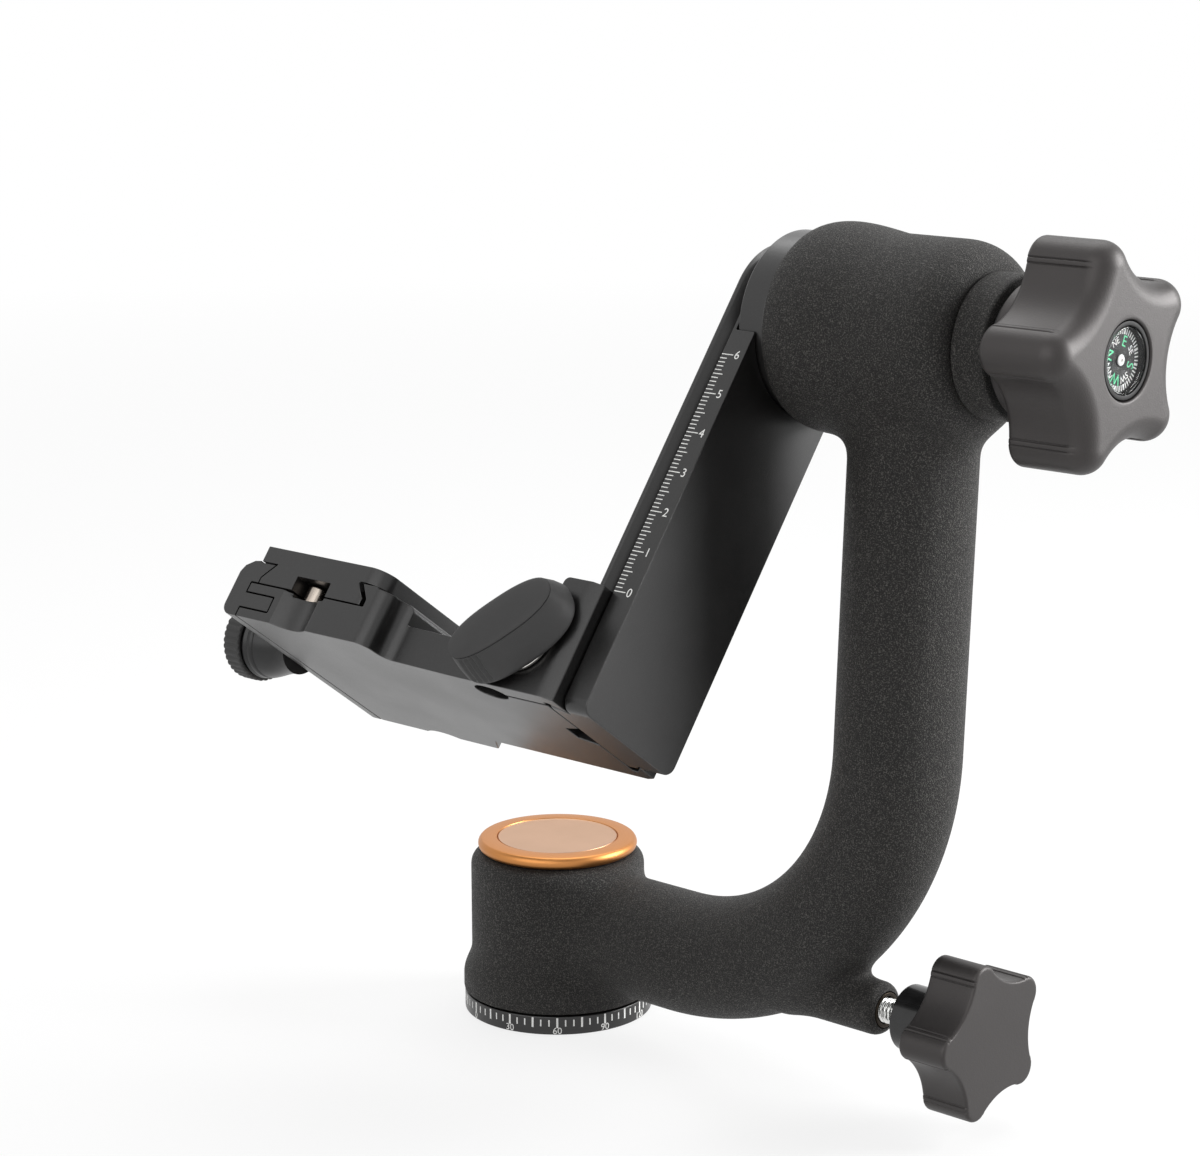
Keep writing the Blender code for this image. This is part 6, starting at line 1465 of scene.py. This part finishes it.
def make_wing_knob():
    """The wing knob with its washer."""
    rows = wing_rows(start=SLIDER_HALF_WIDTH + 0.0015, height=0.00915)
    knob = skin("rubber_wing", along_front(rows, WING_X, WING_Z))
    combined(knob, [wing_hole(start=SLIDER_HALF_WIDTH, end=0.0296)], "DIFFERENCE")
    moved_mesh(knob, swung)
    finished(knob, RUBBER, "slider_lock_knob", ["wing_knob"], math.radians(50))
    start, end = SLIDER_HALF_WIDTH + GAP, SLIDER_HALF_WIDTH + 0.0012
    section = ring_section(WING_BORE, outer=0.0085, start=start, end=end, edge=0.0003)
    washer = skin("chromed_washer", swung(along_front(turned(section, FINE), WING_X, WING_Z)), ring=True)
    finished(washer, CHROME, "slider_brake", ["wing_washer"])


# Solids that are kept as they are

def dress_solids():
    """Gives each solid that still shows its finish."""
    kept = {
        ANODISED: ["base_plate"],
        STEEL: [
            "thread_insert", "pan_spindle", "base_screw_1", "base_screw_2", "base_screw_3",
            "lower_pan_bearing", "upper_pan_bearing", "pan_spring_washer", "pan_nut", "pan_push_rod",
            "inner_tilt_bearing", "outer_tilt_bearing", "tilt_axle", "clamp_screw", "clamp_spring",
            "safety_pin_spring", "wing_screw",
        ],
        BRASS: ["pan_brake_shoe", "tilt_knob_insert"],
        BLACK_STEEL: ["axle_bolt"],
    }
    for finish, names in kept.items():
        for name in names:
            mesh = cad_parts[name].data
            mesh.materials.clear()
            mesh.materials.append(finish)


# Floor, background, light and view

def seen_as_background(tree):
    """1 for the rays of the view, of gloss and through glass, and 0 for all others."""
    path = tree.nodes.new("ShaderNodeLightPath").outputs
    gloss = node(tree, "Math", {0: path["Is Camera Ray"], 1: path["Is Glossy Ray"]}, operation="MAXIMUM")
    either = {0: gloss.outputs[0], 1: path["Is Transmission Ray"]}
    return node(tree, "Math", either, operation="MAXIMUM").outputs[0]


def floor_finish():
    """A pale floor: white to the camera, to gloss and through glass, save for part of its shadow.

    The share of plain white grows from the middle outwards, so that the floor's edge meets
    the white background unseen. All other rays find an ordinary pale matt floor.
    """
    near, far, least_white = 0.35, 1.5, 0.80
    made = Finish("Pale floor", 0.9, Specular_IOR_Level=0.1)
    made.colour(made.drift(3.0), (0.93, 0.93, 0.93), (0.94, 0.94, 0.94))
    tree = made.tree
    distance = node(tree, "VectorMath", {0: made.place}, operation="LENGTH").outputs["Value"]
    share = node(tree, "MapRange", {0: distance, 1: near, 2: far, 3: least_white, 4: 1.0}).outputs[0]
    shown = node(tree, "Math", {0: share, 1: seen_as_background(tree)}, operation="MULTIPLY").outputs[0]
    white = node(tree, "Emission", {"Strength": 1.0}).outputs[0]
    mix = node(tree, "MixShader", {0: shown, 1: made.shader.outputs[0], 2: white}).outputs[0]
    feed(tree, tree.nodes["Material Output"], {"Surface": mix})
    return made.material


def make_stage():
    """The floor, a disc just under the base."""
    edge = arc((0, 0), 2.5, 0, 360, 96)[:-1]
    mesh = bpy.data.meshes.new("floor")
    mesh.from_pydata([(x, y, -0.0002) for x, y in edge.tolist()], [], [range(len(edge))])
    floor = linked("floor", mesh)
    mesh.materials.append(floor_finish())


def area_lamp(name, place, width, height, watts):
    """A soft rectangular lamp that faces the middle of the object."""
    light = bpy.data.lights.new(name, "AREA")
    light.shape = "RECTANGLE"
    light.size = width
    light.size_y = height
    light.energy = watts
    lamp = linked(name, light)
    lamp.location = place
    direction = Vector((0.05, -0.01, 0.12)) - Vector(place)
    lamp.rotation_euler = direction.to_track_quat("-Z", "Y").to_euler()


def make_lights():
    """A bright box behind on the right, a wide one overhead and a wide one in front."""
    area_lamp("side_box", (0.70, 0.62, 0.40), width=0.42, height=0.55, watts=12.5)
    area_lamp("top_box", (-0.15, 0.35, 1.10), width=0.90, height=0.90, watts=6.8)
    area_lamp("front_box", (0.25, -1.35, 0.75), width=1.60, height=1.20, watts=9.5)


def make_world():
    """White as a background; a dimmer even light on the object."""
    light_on_object, white = 0.30, 1.0
    world = bpy.data.worlds.new("studio")
    bpy.context.scene.world = world
    world.use_nodes = True
    tree = world.node_tree
    spread = {0: seen_as_background(tree), 3: light_on_object, 4: white}
    strength = node(tree, "MapRange", spread).outputs[0]
    feed(tree, tree.nodes["Background"], {"Strength": strength, "Color": (1, 1, 1, 1)})


def make_view():
    """The view of the photograph, by its place, heading, downward tilt and roll in degrees."""
    place, heading, down, roll = (0.54172, -0.56851, 0.28261), 42.82, 12.32, -0.17
    data = bpy.data.cameras.new("view")
    data.lens = 97.02
    data.sensor_width = 36
    data.clip_start = 0.01
    view = linked("view", data)
    view.matrix_world = Matrix.Translation(place)
    for angle, axis in ((heading, "Z"), (90 - down, "X"), (roll, "Z")):
        view.matrix_world @= Matrix.Rotation(math.radians(angle), 4, axis)
    bpy.context.scene.camera = view
    bpy.context.scene.view_settings.view_transform = "Standard"


make_arm()
make_cap()
make_base()
make_tilt_knob()
make_pan_knob()
make_pan_stud()
make_compass()
make_rail()
make_ruler()
make_flange()
make_platform()
make_jaw()
make_plate()
make_plate_screw()
make_clamp_knob()
make_clamp_grip()
make_safety_pin()
make_wing_knob()
dress_solids()
make_stage()
make_lights()
make_world()
make_view()
